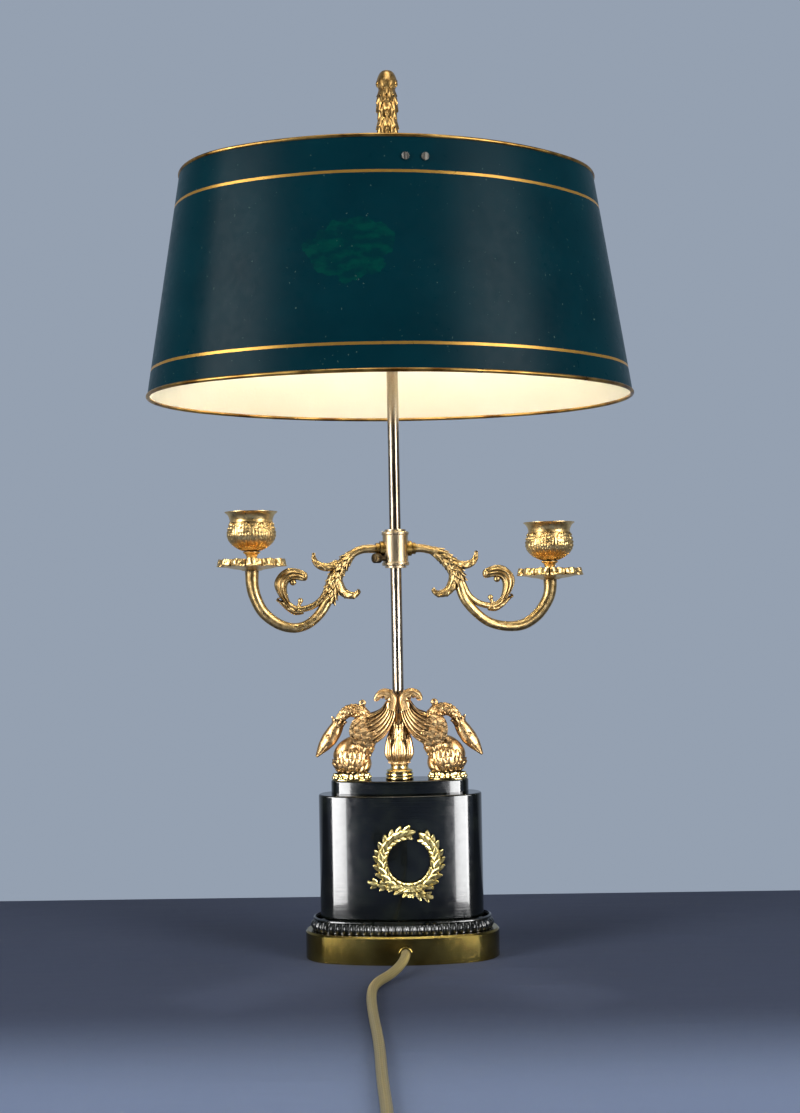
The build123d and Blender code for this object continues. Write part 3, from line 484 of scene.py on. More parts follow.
def sprig(work, line, leaves, size=1.0):
    """Stem with leaves in threes along it, on a flat sheet with its height as Z."""
    rod_along(work, line, wreath_stem_r, sides=6, side_way=(0, 0, 1))
    for number in range(leaves):
        index = int(number / leaves * (len(line) - 1))
        heading = Vector((1, 0, 0)).rotation_difference(way_at(line, index)).to_euler().z
        for swing, scale, lift in ((-0.72, 0.92, 0.0002), (0.72, 0.92, 0.0003), (0, 1.05, 0.0010)):
            turn = Matrix.Rotation(heading + swing, 4, "Z") @ Matrix.Rotation(-0.12, 4, "Y")
            place = Matrix.Translation(line[index] + Vector((0, 0, lift)))
            lay(work, laurel, place @ turn @ Matrix.Scale(scale * size, 4))


def wreath(name, node_name, middle_x, side):
    """Wreath on a long face; side is -1 on the flex's side and 1 on the other."""
    work = bmesh.new()
    for start, end, leaves in ((-102, 62, 12), (-78, -274, 14)):
        arc = [radians(start + (end - start) * step / 40) for step in range(41)]
        line = [polar(wreath_ring_r, angle, 0.0008) for angle in arc]
        sprig(work, line, leaves)
    crossing = Vector((-0.0045, -0.0172, 0.0012))
    for tip in ((-0.0275, -0.0142, 0.0008), (0.0150, -0.0248, 0.0008)):
        line = smooth_line([crossing, crossing.lerp(Vector(tip), 0.5) + Vector((0, -0.001, 0)), tip], 6)
        sprig(work, line, 4, 0.72)
        ball(work, tip, 0.0013, 12, 8)
    side_r = side_radius(body_half_w, body_half_d, body_end_r)
    for vert in work.verts:
        x = middle_x + vert.co.x * -side
        face = body_half_d - side_r + sqrt(side_r ** 2 - x ** 2)
        vert.co = Vector((x, side * (face + max(vert.co.z, 0.0001)), wreath_z + vert.co.y))
    set_piece(name, work, "base", "gilt", lemon_gold, node_name, crease=50)


wreath("laurel_rear", "wreath_rear", 0.0059, -1)
wreath("laurel_front", "wreath_front", 0.0, 1)
dress(lemon_gold, "wreath_pins")

# ---- Bud round the rod ----
# A turned socle of three bright rings, and on it a cast bud of pointed leaves that hides where the rod
# enters the step.
step_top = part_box("swan_plinths")[0][2]
figures_gold = chased_gold("figures_gold", (218, 182, 130), (166, 126, 78), (42, 22, 8), 0.33, 0.0026)
rings_brass = chased_gold("rings_brass", (250, 234, 176), (222, 196, 124), (96, 72, 30), 0.2)


def turned(work, outline, segments=64, middle=(0, 0, 0)):
    """Solid of revolution from (radius, height) points whose two ends lie on the axis."""
    before = len(work.verts)
    verts = [work.verts.new((radius, 0, height)) for radius, height in outline]
    edges = [work.edges.new(pair) for pair in zip(verts, verts[1:])]
    bmesh.ops.spin(work, geom=verts + edges, cent=(0, 0, 0), axis=(0, 0, 1), angle=2 * pi, steps=segments,
                   use_merge=True)
    work.verts.ensure_lookup_table()
    bmesh.ops.translate(work, verts=work.verts[before:], vec=middle)


def soft_outline(points, steps=5):
    """Turned outline that runs smoothly through (radius, height) points."""
    return [(max(point.x, 0), point.y) for point in smooth_line([(*point, 0) for point in points], steps)]


def between(outline, height):
    """Radius of a turned outline at a height."""
    for (low_r, low_z), (high_r, high_z) in zip(outline, outline[1:]):
        if low_z <= height <= high_z:
            return low_r + (high_r - low_r) * (height - low_z) / max(high_z - low_z, 1e-9)
    return outline[0][0] if height < outline[0][1] else outline[-1][0]


work = bmesh.new()
socle_height = 0.0095
socle_outline = [
    (0, 0), (0.00935, 0), (0.00975, 0.0004), (0.00975, 0.0016), (0.0093, 0.0021), (0.0085, 0.0023),
    (0.0085, 0.0026), (0.0095, 0.0029), (0.0097, 0.0036), (0.0095, 0.0043), (0.0082, 0.0046),
    (0.0082, 0.0049), (0.0090, 0.0052), (0.0092, 0.0059), (0.0088, 0.0066), (0.0070, 0.0071),
    (0.0062, 0.0078), (0.0061, 0.0089), (0.0062, socle_height), (0, socle_height)]
turned(work, socle_outline, 80, (0, 0, step_top))
set_piece("ringed_socle", work, "base", "gilt", rings_brass, "bud_socle", crease=45)

bud_base = step_top + socle_height
bud_outline = soft_outline([(0.0060, 0.0), (0.0066, 0.0016), (0.0064, 0.0028), (0.0080, 0.0052),
                            (0.0092, 0.0088), (0.0086, 0.0140), (0.0070, 0.0195), (0.0056, 0.0250),
                            (0.0048, 0.0310), (0.0045, 0.0362)], 5)


def leaf_rings(work, count, leaf, other):
    """Leaves round the axis, with another kind between them."""
    for angle in round_angles(count):
        lay(work, leaf, Matrix.Rotation(angle, 4, "Z"))
        lay(work, other, Matrix.Rotation(angle + pi / count, 4, "Z"))


def bud_leaf(start, height_span, half_width, stand_off, flare):
    """Pointed leaf, fluted along its length, that lies on the bud and leaves it at its tip."""
    def place(u, v):
        height = start + height_span * u
        half = half_width * (sin(pi * (0.24 + 0.76 * u)) ** 0.7 + 0.02)
        radius = between(bud_outline, height) + stand_off + flare * u ** 3
        radius += 0.0006 * (1 - abs(v)) ** 3 + 0.0004 * abs(v) ** 6 + 0.00035 * cos(5 * pi * v) * (1 - u)
        angle = half * v / max(radius, 0.004)
        return polar(radius, angle, height)
    return blade("bud_leaf", 18, 24, place, 0.0005)


work = bmesh.new()
turned(work, [(0, 0)] + bud_outline + [(0, 0.0365)], 48)
inner_leaf = bud_leaf(0.0022, 0.0285, 0.0047, -0.0001, 0.0008)
outer_leaf = bud_leaf(0.0018, 0.0205, 0.0047, 0.0008, 0.0009)
leaf_rings(work, 6, inner_leaf, outer_leaf)
bmesh.ops.translate(work, verts=work.verts, vec=(0, 0, bud_base))
set_piece("leafy_bud", work, "base", "gilt", figures_gold, "bud", crease=50)

# ---- Swans ----
# A pair of cast and chased swans with raised wings, seated back to back on beaded plinths and screwed down
# from inside the body. Head and breast are smooth, the neck is scaled, and the wings end in long feathers.
swan_x, plinth_height = 0.0334, 0.0045
seat_z = step_top + plinth_height
plinth_half_x, plinth_half_y = 0.014, 0.010
wing_y = 0.0076
# distance outwards from the plinth's middle and height over the plinth
neck_line = [(-0.0105, 0.0290), (-0.0102, 0.0360), (-0.0072, 0.0412), (-0.0030, 0.0434), (0.0018, 0.0430),
             (0.0056, 0.0400), (0.0082, 0.0358)]
neck_radii = [0.0062, 0.0058, 0.0052, 0.0046, 0.0040, 0.0035, 0.0031]
head_line = [(0.0080, 0.0366), (0.0092, 0.0336), (0.0118, 0.0290), (0.0154, 0.0238), (0.0193, 0.0188),
             (0.0221, 0.0150), (0.0244, 0.0117)]
head_radii = [0.0030, 0.0043, 0.0053, 0.0055, 0.0042, 0.0024, 0.0008]
wing_top = [(-0.0024, 0.0378), (-0.0085, 0.0402), (-0.0150, 0.0418), (-0.0208, 0.0444), (-0.0245, 0.0492)]
wing_low = [(-0.0030, 0.0210), (-0.0100, 0.0188), (-0.0172, 0.0208), (-0.0243, 0.0262), (-0.0292, 0.0342),
            (-0.0314, 0.0425), (-0.0302, 0.0500)]
wing_curl = [(-0.0283, 0.0440), (-0.0300, 0.0500), (-0.0284, 0.0538), (-0.0240, 0.0556), (-0.0198, 0.0543),
             (-0.0172, 0.0505)]


def along(values, share):
    """Value at this share of a list, between its neighbours."""
    spot = share * (len(values) - 1)
    index = min(int(spot), len(values) - 2)
    return values[index] + (values[index + 1] - values[index]) * (spot - index)


def tapered(radii, line):
    """Radius for each point of a line, from a shorter list."""
    return [along(radii, index / (len(line) - 1)) for index in range(len(line))]


def facing(ahead, normal):
    """Turn that lays X along one direction and Z along another."""
    return Matrix((ahead, normal.cross(ahead), normal)).transposed().to_4x4()


def swan_side(points, y=0.0, steps=6):
    """Smooth line through points of the swan's side view."""
    return smooth_line([(swan_x + x, y, seat_z + z) for x, z in points], steps)


def plumes(across, up, overlap=1.9, blunt=3.0):
    """Height, 0 to 1, of feathers that overlap, at a place counted in feathers across and rows up."""
    height = 0.0
    for row in range(floor(up) - 1, floor(up) + 1):
        share = (up - row) / overlap
        off = 2 * ((across + 0.5 * (row % 2)) % 1) - 1
        half = 1.06 * sqrt(max(1 - share ** blunt, 0))
        if share <= 1 and abs(off) < half:
            dome = 1 - (off / half) ** 2
            quill = 0.10 * max(1 - 6 * abs(off), 0)
            height = max(height, 0.66 * share + 0.28 * sqrt(dome) + quill)
    return height


def feathered_round(work, centre, radii, lean, count, rows, depth, smooth_where):
    """Egg shape that carries rows of feathers in relief, except where it is left smooth."""
    turn = Matrix.Rotation(lean, 3, "Y")
    made = bmesh.ops.create_uvsphere(work, u_segments=10 * count, v_segments=15 * rows, radius=1)["verts"]
    for vert in made:
        way = vert.co.normalized()
        azimuth, descent = atan2(way.y, way.x), acos(max(min(way.z, 1), -1))
        rise = plumes(azimuth / (2 * pi) * count + 0.25, (1 - descent / pi) * rows) * depth
        rise *= 1 - clip(smooth_where(way))
        vert.co = centre + turn @ Vector(a * (b + rise) for a, b in zip(way, radii))


def wing(work, face):
    """Raised wing: four rows of coverts at the shoulder, then nine long feathers that sweep to the tip."""
    top, low = swan_side(wing_top, 0, 10), swan_side(wing_low, 0, 10)
    rings = []
    steps, points = 110, 72
    for step in range(steps + 1):
        u = step / steps
        ring = []
        for side in range(2 * points):
            outer = side < points
            v = -1 + 2 * side / (points - 1) if outer else 1 - 2 * (side - points) / (points - 1)
            spot = along(top, u).lerp(along(low, u), (v + 1) / 2)
            spot.x += 0.0034 * (1 - v * v) * (1 - u) ** 3
            if outer:
                tail = 3.5 * (v + 1) % 1
                quill = 0.25 * max(1 - abs(tail - 0.4) / 0.08, 0)
                long_ones = 0.15 + 0.80 * tail - 0.95 * max(tail - 0.84, 0) / 0.16 + quill
                coverts = plumes(2 * (v + 1), u * 9.5)
                mixed = clip((u - 0.34 - 0.05 * cos(9 * pi * v)) / 0.03)
                rise = 0.0017 * (coverts + 0.15) * (1 - mixed) + 0.0016 * long_ones * mixed
                rise += 0.0016 * sqrt(max(1 - v * v, 0)) * (1 - 0.5 * u)
            else:
                rise = -0.0010 + 0.0002 * cos(9 * pi * v)
            spot.y = face * (wing_y + rise - 0.0010 * u)
            ring.append(spot)
        rings.append(ring)
    skin(work, rings)
    curl = swan_side(wing_curl, face * (wing_y - 0.0006), 10)
    rings = []
    for index, point in enumerate(curl):
        u = index / (len(curl) - 1)
        inward = Vector((0, 1, 0)).cross(way_at(curl, index).normalized())
        size = 0.0027 * (1 - u) ** 0.5 + 0.0008
        lobes = 0.9 + 0.7 * abs(sin(5 * pi * u)) ** 0.6
        rings.append([point + size * ((lobes if cos(a) > 0 else 1) * cos(a) * inward
                                      + 0.62 * sin(a) * (1 + 0.16 * cos(6 * a)) * Vector((0, 1, 0)))
                      for a in round_angles(30)])
    skin(work, rings)


def swan_form():
    """Swan that faces +X, drawn once and mirrored for its mate."""
    work = bmesh.new()
    body = Vector((swan_x + 0.0004, 0, seat_z + 0.0092))
    feathered_round(work, body, (0.0120, 0.0086, 0.0106), radians(-8), 16, 7, 0.0018,
                    lambda way: 4 * (way.x - 0.62) if way.z > -0.1 else 0)
    torso = Vector((swan_x - 0.0088, 0, seat_z + 0.0225))
    feathered_round(work, torso, (0.0074, 0.0060, 0.0150), radians(-12), 12, 9, 0.0017,
                    lambda way: 3 * (way.z - 0.75))
    breast = (swan_x + 0.0034, 0, seat_z + 0.0168)
    ball(work, breast, (0.0112, 0.0074, 0.0064), 48, 32, Matrix.Rotation(radians(42), 4, "Y"))
    vent = smooth_line([(swan_x - 0.0118, 0, seat_z + 0.0128), (swan_x - 0.0104, 0, seat_z + 0.0062),
                        (swan_x - 0.0064, 0, seat_z + 0.0018), (swan_x + 0.0006, 0, seat_z + 0.0004)], 8)
    rod_along(work, vent, [0.0008 + 0.0034 * sin(pi * i / 24) for i in range(25)], 24, flat=1.9)
    neck = swan_side(neck_line, 0, 18)
    neck_sides, scales_round, scale_rows = 90, 9, 13

    def scaled_neck(index, side):
        share = index / (len(neck) - 1)
        scales = plumes(side * scales_round / neck_sides, scale_rows * share, 1.8)
        return along(neck_radii, share) + 0.0013 * (scales - 0.6)

    rod_along(work, neck, scaled_neck, neck_sides, flat=0.86)
    head = swan_side(head_line, 0, 8)
    rod_along(work, head, tapered(head_radii, head), 40, flat=0.84)
    ahead = (along(head, 0.1) - along(head, 0)).normalized()
    fringe = blade("fringe", 8, 6, lambda u, v: Vector((0.0052 * u, 0.0017 * v * (1 - u ** 2),
                                                          0.0005 * (1 - abs(v)) + 0.0016 * u ** 2)), 0.0005)
    for number in range(11):
        normal = Matrix.Rotation(2 * pi * number / 11, 3, ahead) @ Vector((0, 1, 0))
        lay(work, fringe, Matrix.Translation(along(head, 0.20) + normal * 0.0039) @ facing(-ahead, normal))
    for face in (-1, 1):
        eye = along(head, 0.46) + Vector((0.0012, face * 0.0040, 0.0010))
        ball(work, eye, 0.0009)
        brow = [eye + Vector((0.0017 * cos(angle), face * 0.0002, 0.0014 * sin(angle)))
                for angle in round_angles(20, True)]
        rod_along(work, brow, 0.0004, 8)
        mouth = smooth_line([along(head, 0.60) + Vector((-0.0012, face * 0.0037, -0.0014)),
                             along(head, 0.78) + Vector((-0.0010, face * 0.0022, -0.0010)),
                             along(head, 0.97) + Vector((-0.0002, face * 0.0007, 0))], 6)
        rod_along(work, mouth, 0.00035, 8)
        cere = smooth_line([along(head, 0.66) + Vector((0.0030, 0, 0.0022)),
                            along(head, 0.70) + Vector((0.0008, face * 0.0030, 0.0006)),
                            along(head, 0.64) + Vector((-0.0014, face * 0.0034, -0.0016))], 6)
        rod_along(work, cere, 0.0004, 8)
        wing(work, face)
    knob = []
    for step in range(24):
        angle, radius = pi * (-0.7 + 0.11 * step), 0.0024 * (1 - step / 30)
        knob.append(Vector((swan_x - 0.0086 + radius * cos(angle), 0, seat_z + 0.0484 + radius * sin(angle))))
    rod_along(work, knob, 0.0011, 12)
    for vert in work.verts:
        vert.co.z = max(vert.co.z, seat_z + 0.0001)
    return to_mesh(work, "swan")


def plinth_form():
    """Oval block whose edge is cast as a row of beads and small leaves."""
    work = bmesh.new()
    outline = [(0.96, 0), (0.99, 0.0003), (0.97, 0.0009), (0.82, 0.0012), (0.80, 0.0030), (0.86, 0.0036),
               (0.84, plinth_height)]
    rings = []
    for share, height in outline:
        rings.append([(swan_x + plinth_half_x * share * cos(a), plinth_half_y * share * sin(a),
                       step_top + height) for a in round_angles(64)])
    skin(work, rings)
    leaf = blade("plinth_leaf", 6, 4, lambda u, v: Vector((
        0.0040 * u, 0.0016 * v * sqrt(max(1.02 - u ** 4, 0.02)), 0.0009 * (1 - v ** 2))), 0.0004)
    for angle in round_angles(20):
        outward = Vector((cos(angle) / plinth_half_x, sin(angle) / plinth_half_y, 0)).normalized()
        spot = Vector((swan_x + 0.90 * plinth_half_x * cos(angle), 0.90 * plinth_half_y * sin(angle), 0))
        ball(work, spot + Vector((0, 0, step_top + 0.0018)), 0.0014, 12, 8)
        foot = Matrix.Translation(spot - outward * 0.0006 + Vector((0, 0, step_top + 0.0006)))
        lay(work, leaf, foot @ facing(Vector((0, 0, 1)), outward))
    for vert in work.verts:
        vert.co.z = min(max(vert.co.z, step_top), step_top + plinth_height)
    return to_mesh(work, "plinth")


swan, plinth = swan_form(), plinth_form()
mirrored = Matrix.Diagonal((-1, 1, 1, 1))
for name, turn in (("right", Matrix.Identity(4)), ("left", mirrored)):
    work = bmesh.new()
    lay(work, swan, turn)
    set_piece("winged_swan_" + name, work, "base", "gilt", figures_gold, "swan_" + name, crease=50)
work = bmesh.new()
lay(work, plinth, Matrix.Identity(4))
lay(work, plinth, mirrored)
set_piece("beaded_plinths", work, "base", "gilt", rings_brass, "swan_plinths", crease=50)

# ---- Rod and collar ----
# A drawn tube, nickelled long ago and now the colour of old pewter. A turned collar slides on it over a
# steel bush and is held by a small blackened thumbscrew; two ferrules on it take the arms.
def pewter_finish(name, pale, brown, roughness):
    """Worn nickel over brass: bright along its length, brown where it is rubbed through."""
    finish = new_finish(name, Metallic=1.0, Roughness=roughness)
    lead_colour(finish, speckle(finish, 90, 0.3, 0.75, 6, (1, 1, 0.25)), tone(*brown), tone(*pale))
    lead_value(finish, speckle(finish, 500, 0.3, 0.7, 4, (1, 1, 0.1)), roughness * 0.7, roughness * 1.5)
    relief(finish, speckle(finish, 1600, 0.2, 0.8, 2, (1, 1, 0.05)), 0.00004, 0.5)
    return finish


dress(pewter_finish("rod_pewter", (190, 180, 164), (128, 108, 86), 0.2), "lamp_rod")
dress(pewter_finish("collar_pewter", (216, 194, 160), (170, 148, 114), 0.32), "collar", "collar_bush",
      "collar_cap")
dress(steel, "cluster_screw")
dress(chased_gold("dark_brass", (196, 160, 92), (128, 94, 44), (40, 26, 10), 0.3), "ferrule_left",
      "ferrule_right")

# ---- Thumbscrews ----
# Small turned screws with coarsely milled heads: a blackened one in the collar and a brass one in the
# shade's sleeve.
def thumb_head(name, body, node_name, finish):
    """Milled head, neck and shank in a row along the screw's own axis."""
    low, high = (Vector(corner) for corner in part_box(node_name))
    middle = (low + high) / 2
    outward = Vector((middle.x, middle.y, 0)).normalized()
    reach = max((vert.co - Vector((0, 0, vert.co.z))).dot(outward) for vert in nodes[node_name].data.vertices)
    tip = min(vert.co.dot(outward) for vert in nodes[node_name].data.vertices)
    work = bmesh.new()
    head_r, milling = 0.0034, 20
    turned(work, [(0, tip), (0.0017, tip), (0.00195, tip + 0.0004), (0.00195, reach - 0.0064),
                  (0.0030, reach - 0.0062), (head_r, reach - 0.0056), (head_r, reach - 0.0012),
                  (0.0031, reach - 0.0006), (0.0022, reach - 0.0002), (0, reach)], milling * 4)
    for index, vert in enumerate(work.verts):
        spoke = Vector((vert.co.x, vert.co.y))
        if spoke.length > 0.9 * head_r:
            angle = spoke.angle_signed(Vector((1, 0)), 0)
            vert.co.xy = spoke * (1 - 0.09 * (0.5 + 0.5 * cos(milling * angle)))
    lie = outward.to_track_quat("Z", "Y").to_matrix().to_4x4()
    bmesh.ops.transform(work, matrix=Matrix.Translation((0, 0, middle.z)) @ lie, verts=work.verts)
    set_piece(name, work, body, "steel" if body == "arm_screw" else "satin_brass", finish, node_name)


thumb_head("collar_thumb_head", "arm_screw", "collar_thumbscrew",
           spun_brass("blackened_brass", (84, 72, 54), (34, 28, 22), 0.35))
thumb_head("shade_thumb_head", "shade_screw", "shade_thumbscrew",
           spun_brass("screw_brass", (214, 180, 108), (140, 110, 54), 0.3))

# ---- Candle arms ----
# Cast and fire-gilt bronze. Each arm is a plain tube that bursts from an acanthus husk with two curled
# tips; a thinner branch runs beside it, parts from it and ends in a leafy bud and a fluted scroll.
arms_gold = chased_gold("arms_gold", (214, 184, 130), (164, 132, 80), (50, 30, 10), 0.33, 0.0022)
# distance from the rod and height in the arm's own plane; the two arms are bent a little unalike
arm_lines = {
    "left": [(0.0135, 0.2820), (0.0243, 0.2815), (0.0335, 0.2760), (0.0425, 0.2630), (0.0458, 0.2520),
             (0.0510, 0.2415), (0.0575, 0.2338), (0.0650, 0.2292), (0.0734, 0.2281), (0.0830, 0.2312),
             (0.0925, 0.2388), (0.0978, 0.2485), (0.1002, 0.2580), (0.1003, 0.2690)],
    "right": [(0.0135, 0.2820), (0.0200, 0.2818), (0.0290, 0.2790), (0.0372, 0.2728), (0.0425, 0.2655),
              (0.0452, 0.2560), (0.0487, 0.2460), (0.0559, 0.2370), (0.0658, 0.2294), (0.0780, 0.2262),
              (0.0904, 0.2271), (0.1007, 0.2335), (0.1078, 0.2430), (0.1106, 0.2510), (0.1108, 0.2596)]}
arm_swell = [0.0030, 0.0029, 0.0029, 0.0031, 0.0035, 0.0036, 0.0034, 0.0033, 0.0034, 0.0037, 0.0040, 0.0042,
             0.0044, 0.0048]
branch_line = [(0.0440, 0.2640), (0.0476, 0.2560), (0.0515, 0.2485), (0.0578, 0.2434), (0.0655, 0.2410),
               (0.0715, 0.2416), (0.0765, 0.2452)]
outer_tip = [(0.0400, 0.2715), (0.0455, 0.2690), (0.0515, 0.2692), (0.0560, 0.2718), (0.0580, 0.2760),
             (0.0578, 0.2798)]
inner_tip = [(0.0425, 0.2650), (0.0418, 0.2580), (0.0385, 0.2518), (0.0335, 0.2490), (0.0285, 0.2492),
             (0.0252, 0.2522)]
bract_tip = [(0.0655, 0.2405), (0.0705, 0.2400), (0.0755, 0.2425), (0.0800, 0.2462), (0.0836, 0.2480)]
scroll_inner = [(0.0735, 0.2440), (0.0757, 0.2505), (0.0762, 0.2565), (0.0742, 0.2602), (0.0706, 0.2612),
                (0.0670, 0.2606), (0.0640, 0.2604)]
scroll_outer = [(0.0765, 0.2432), (0.0822, 0.2500), (0.0850, 0.2582), (0.0822, 0.2655), (0.0757, 0.2692),
                (0.0690, 0.2692), (0.0640, 0.2668)]


def in_plane(points):
    """Points of the arm's own plane as places over the X axis."""
    return [(distance, 0, height) for distance, height in points]


def acanthus(work, line, reach, lobes, wrap=2.2, side=1.0):
    """Saw-edged leaf bent round a line, as deep as its reach at each point, with its rib on one side."""
    def place(u, v):
        point = along(line, u)
        ahead = (along(line, min(u + 0.02, 1)) - along(line, max(u - 0.02, 0))).normalized()
        across = Vector((0, 1, 0))
        up = across.cross(ahead) * side
        saw = 1 - 0.34 * abs(sin(pi * (lobes * u + 0.35 * abs(v)))) * abs(v) ** 1.5
        angle = wrap * v * saw * min(1, (1.04 - u) * 6) ** 0.5
        radius = along(reach, u) * (1 + 0.10 * cos(2 * pi * (lobes * u + 0.6 * abs(v))) * abs(v))
        radius += 0.0004 * (1 - abs(v)) ** 4 + 0.0002 * cos(5 * pi * v)
        return point + radius * (up * cos(angle) + across * sin(angle))
    leaf = blade("acanthus", 8 * lobes, 20, place, 0.0006)
    lay(work, leaf, Matrix.Identity(4))


def fluted_scroll(work, inner, outer, thick, flutes):
    """Leaf that curls over in its own plane, thick in the middle, with long flutes on both faces."""
    rings = []
    steps = 30
    inner, outer = smooth_line(in_plane(inner), 6), smooth_line(in_plane(outer), 6)
    for step in range(steps + 1):
        u = step / steps
        low, high = along(inner, u), along(outer, u)
        half = (high - low) / 2
        swell = thick * sin(pi * (0.15 + 0.75 * u)) ** 0.6
        ring = []
        for angle in round_angles(48):
            flute = 1 + 0.16 * cos(flutes * 2 * angle)
            spread = cos(angle) * (1 + 0.05 * cos(6 * pi * u) * max(cos(angle), 0))
            ring.append((low + high) / 2 + half * spread + Vector((0, 1, 0)) * swell * sin(angle) * flute)
        rings.append(ring)
    skin(work, rings)


def candle_arm(side, heading):
    """One whole casting, drawn along +X and then turned to its heading."""
    work = bmesh.new()
    line = smooth_line(in_plane(arm_lines[side]), 6)
    rod_along(work, line, tapered(arm_swell, line), sides=24)
    branch = smooth_line(in_plane(branch_line), 8)
    rod_along(work, branch, [0.0029 - 0.0007 * min(2.2 * i / len(branch), 1) for i in range(len(branch))], 16)
    middle_rib = [point.lerp(along(line, 0.24 + 0.25 * i / len(branch)), 0.5)
                  for i, point in enumerate(branch)]
    rod_along(work, middle_rib[2:18], [0.0022 * (1 - i / 16) + 0.0004 for i in range(16)], 12)
    husk_start = 0.13 if side == "left" else 0.12
    husk = [along(line, husk_start + 0.22 * i / 16) for i in range(17)]
    for way in (1, -1):
        acanthus(work, husk, [0.0026, 0.0040, 0.0046, 0.0048, 0.0046], 6, 1.75, way)
    for number in range(9):
        spot = along(husk, 0.08 + 0.1 * number)
        ahead = (along(husk, min(0.12 + 0.1 * number, 1)) - spot).normalized()
        for turn in (-1.2, -0.4, 0.4, 1.2):
            for face in (-1, 1):
                normal = Matrix.Rotation(turn + (0.4 if number % 2 else 0), 3, ahead) @ Vector((0, face, 0))
                depth = 0.0042 - 0.0012 * (1 - number / 8)
                lay(work, laurel, Matrix.Translation(spot + normal * depth) @ facing(ahead, normal)
                    @ Matrix.Rotation(radians(-14), 4, "Y") @ Matrix.Scale(0.62, 4))
    for tip, reach, lobes in ((outer_tip, [0.0034, 0.0034, 0.0028, 0.0020, 0.0008], 5),
                              (inner_tip, [0.0034, 0.0036, 0.0030, 0.0020, 0.0008], 5),
                              (bract_tip, [0.0024, 0.0025, 0.0020, 0.0013, 0.0005], 4)):
        curve = smooth_line(in_plane(tip), 6)
        rod_along(work, curve, tapered([0.62 * radius for radius in reach], curve), 14)
        acanthus(work, curve, reach, lobes, 2.3, -1 if tip is outer_tip else 1)
    fluted_scroll(work, scroll_inner, scroll_outer, 0.0034, 5)
    ball(work, (0.0640, 0, 0.2636), (0.0022, 0.0028, 0.0032), 24, 16)
    ball(work, (0.0722, 0, 0.2597), 0.0024)
    ball(work, (0.0672, 0, 0.2468), 0.0019)
    stalk = smooth_line(in_plane([(0.0690, 0.2412), (0.0682, 0.2438), (0.0672, 0.2462)]), 4)
    rod_along(work, stalk, 0.0013, 10)
    for swing in range(5):
        turn = Matrix.Translation((0.0672, 0, 0.2460)) @ Matrix.Rotation(2 * pi * swing / 5, 4, "Z")
        lean = Matrix.Rotation(radians(-70), 4, "Y") @ Matrix.Scale(0.34, 4)
        lay(work, laurel, turn @ Matrix.Translation((0.0008, 0, -0.0008)) @ lean)
    bmesh.ops.transform(work, matrix=Matrix.Rotation(heading, 4, "Z"), verts=work.verts)
    set_piece("candle_arm_" + side, work, "candle_arms", "gilt", arms_gold, "arm_" + side, crease=55)


arms_turn = radians(10.5)
for side, heading in (("left", arms_turn + pi), ("right", arms_turn)):
    candle_arm(side, heading)

# ---- Drip pans and candle cups ----
# Cast gilt pans edged with twelve shells, each with a raised rim and flutes. On each pan a turned cup with
# a flared lip is wrapped in broad ribbed leaves, with beaded ones between them. A stud holds both.
pan_lobes, steps_per_lobe = 12, 16
lobe_ring_r, lobe_r = 0.0186, 0.0057
candle_bore_r = 0.0113
leaf_count, bead_r, bead_z = 8, 0.0149, 0.0334
cups_gold = chased_gold("cups_gold", (246, 214, 150), (212, 172, 108), (74, 46, 20), 0.33, 0.0022)
bowl_outline = [(0.0048, 0.0136), (0.0094, 0.0158), (0.0135, 0.0190), (0.0157, 0.0232), (0.0159, 0.0272),
                (0.0149, 0.0318), (0.0146, 0.0334)]


def pan_edge(angle):
    """Outer radius of the shells' plan at an angle, and how far from the nearest shell's middle, -1 to 1."""
    pitch = 2 * pi / pan_lobes
    off = (angle + pitch / 2) % pitch - pitch / 2
    inside = max(lobe_r ** 2 - (lobe_ring_r * sin(off)) ** 2, 0)
    return lobe_ring_r * cos(off) + sqrt(inside), 2 * off / pitch


def pan_rows():
    """Rows from the middle of the underside, round the shells and back to the middle of the dish.

    Each row is (share of the edge's radius, plain radius, height, share of the shell's height)."""
    rows = [(0, 0.0008, 0.0, None), (0, 0.0050, 0.0, None), (0, 0.0068, 0.0002, None),
            (0, 0.0075, 0.0007, None), (0, 0.0130, 0.0015, None), (0, 0.0185, 0.0026, None),
            (0.94, 0, 0.0028, None)]
    for step in range(9):
        rise = step / 8
        bulge = 0.975 + 0.025 * sin(pi * rise) - 0.02 * rise
        rows.append((bulge, 0, 0.0030 + 0.0046 * rise, rise))
    rows += [(0.93, 0, 0.0078, None), (0.86, 0, 0.0072, None), (0, 0.0172, 0.0054, None),
             (0, 0.0150, 0.0047, None), (0, 0.0080, 0.0046, None), (0, 0.0008, 0.0046, None)]
    return rows


def pan_mesh():
    """Dish with its shells, standing on the origin."""
    work = bmesh.new()
    rings = []
    for share, radius, height, rise in pan_rows():
        ring = []
        for angle in round_angles(pan_lobes * steps_per_lobe):
            edge, off = pan_edge(angle)
            reach = edge * share if share else radius
            if rise is not None:
                rim = max(abs(off), 1 - rise * 1.05)
                flute = 0.5 + 0.5 * cos(7 * pi * off * (1.1 - 0.5 * rise))
                reach -= 0.0009 * clip((0.80 - rim) / 0.12) * (1 - 0.55 * flute)
                reach += 0.0004 * clip((rim - 0.74) / 0.1) * clip((0.97 - abs(off)) / 0.1)
            lift = 0.0006 * (1 - abs(off)) if share and height > 0.0070 else 0
            ring.append(polar(reach, angle, height + lift))
        rings.append(ring)
    skin(work, rings)
    return to_mesh(work, "pan")


bowl_smooth = soft_outline(bowl_outline, 6)


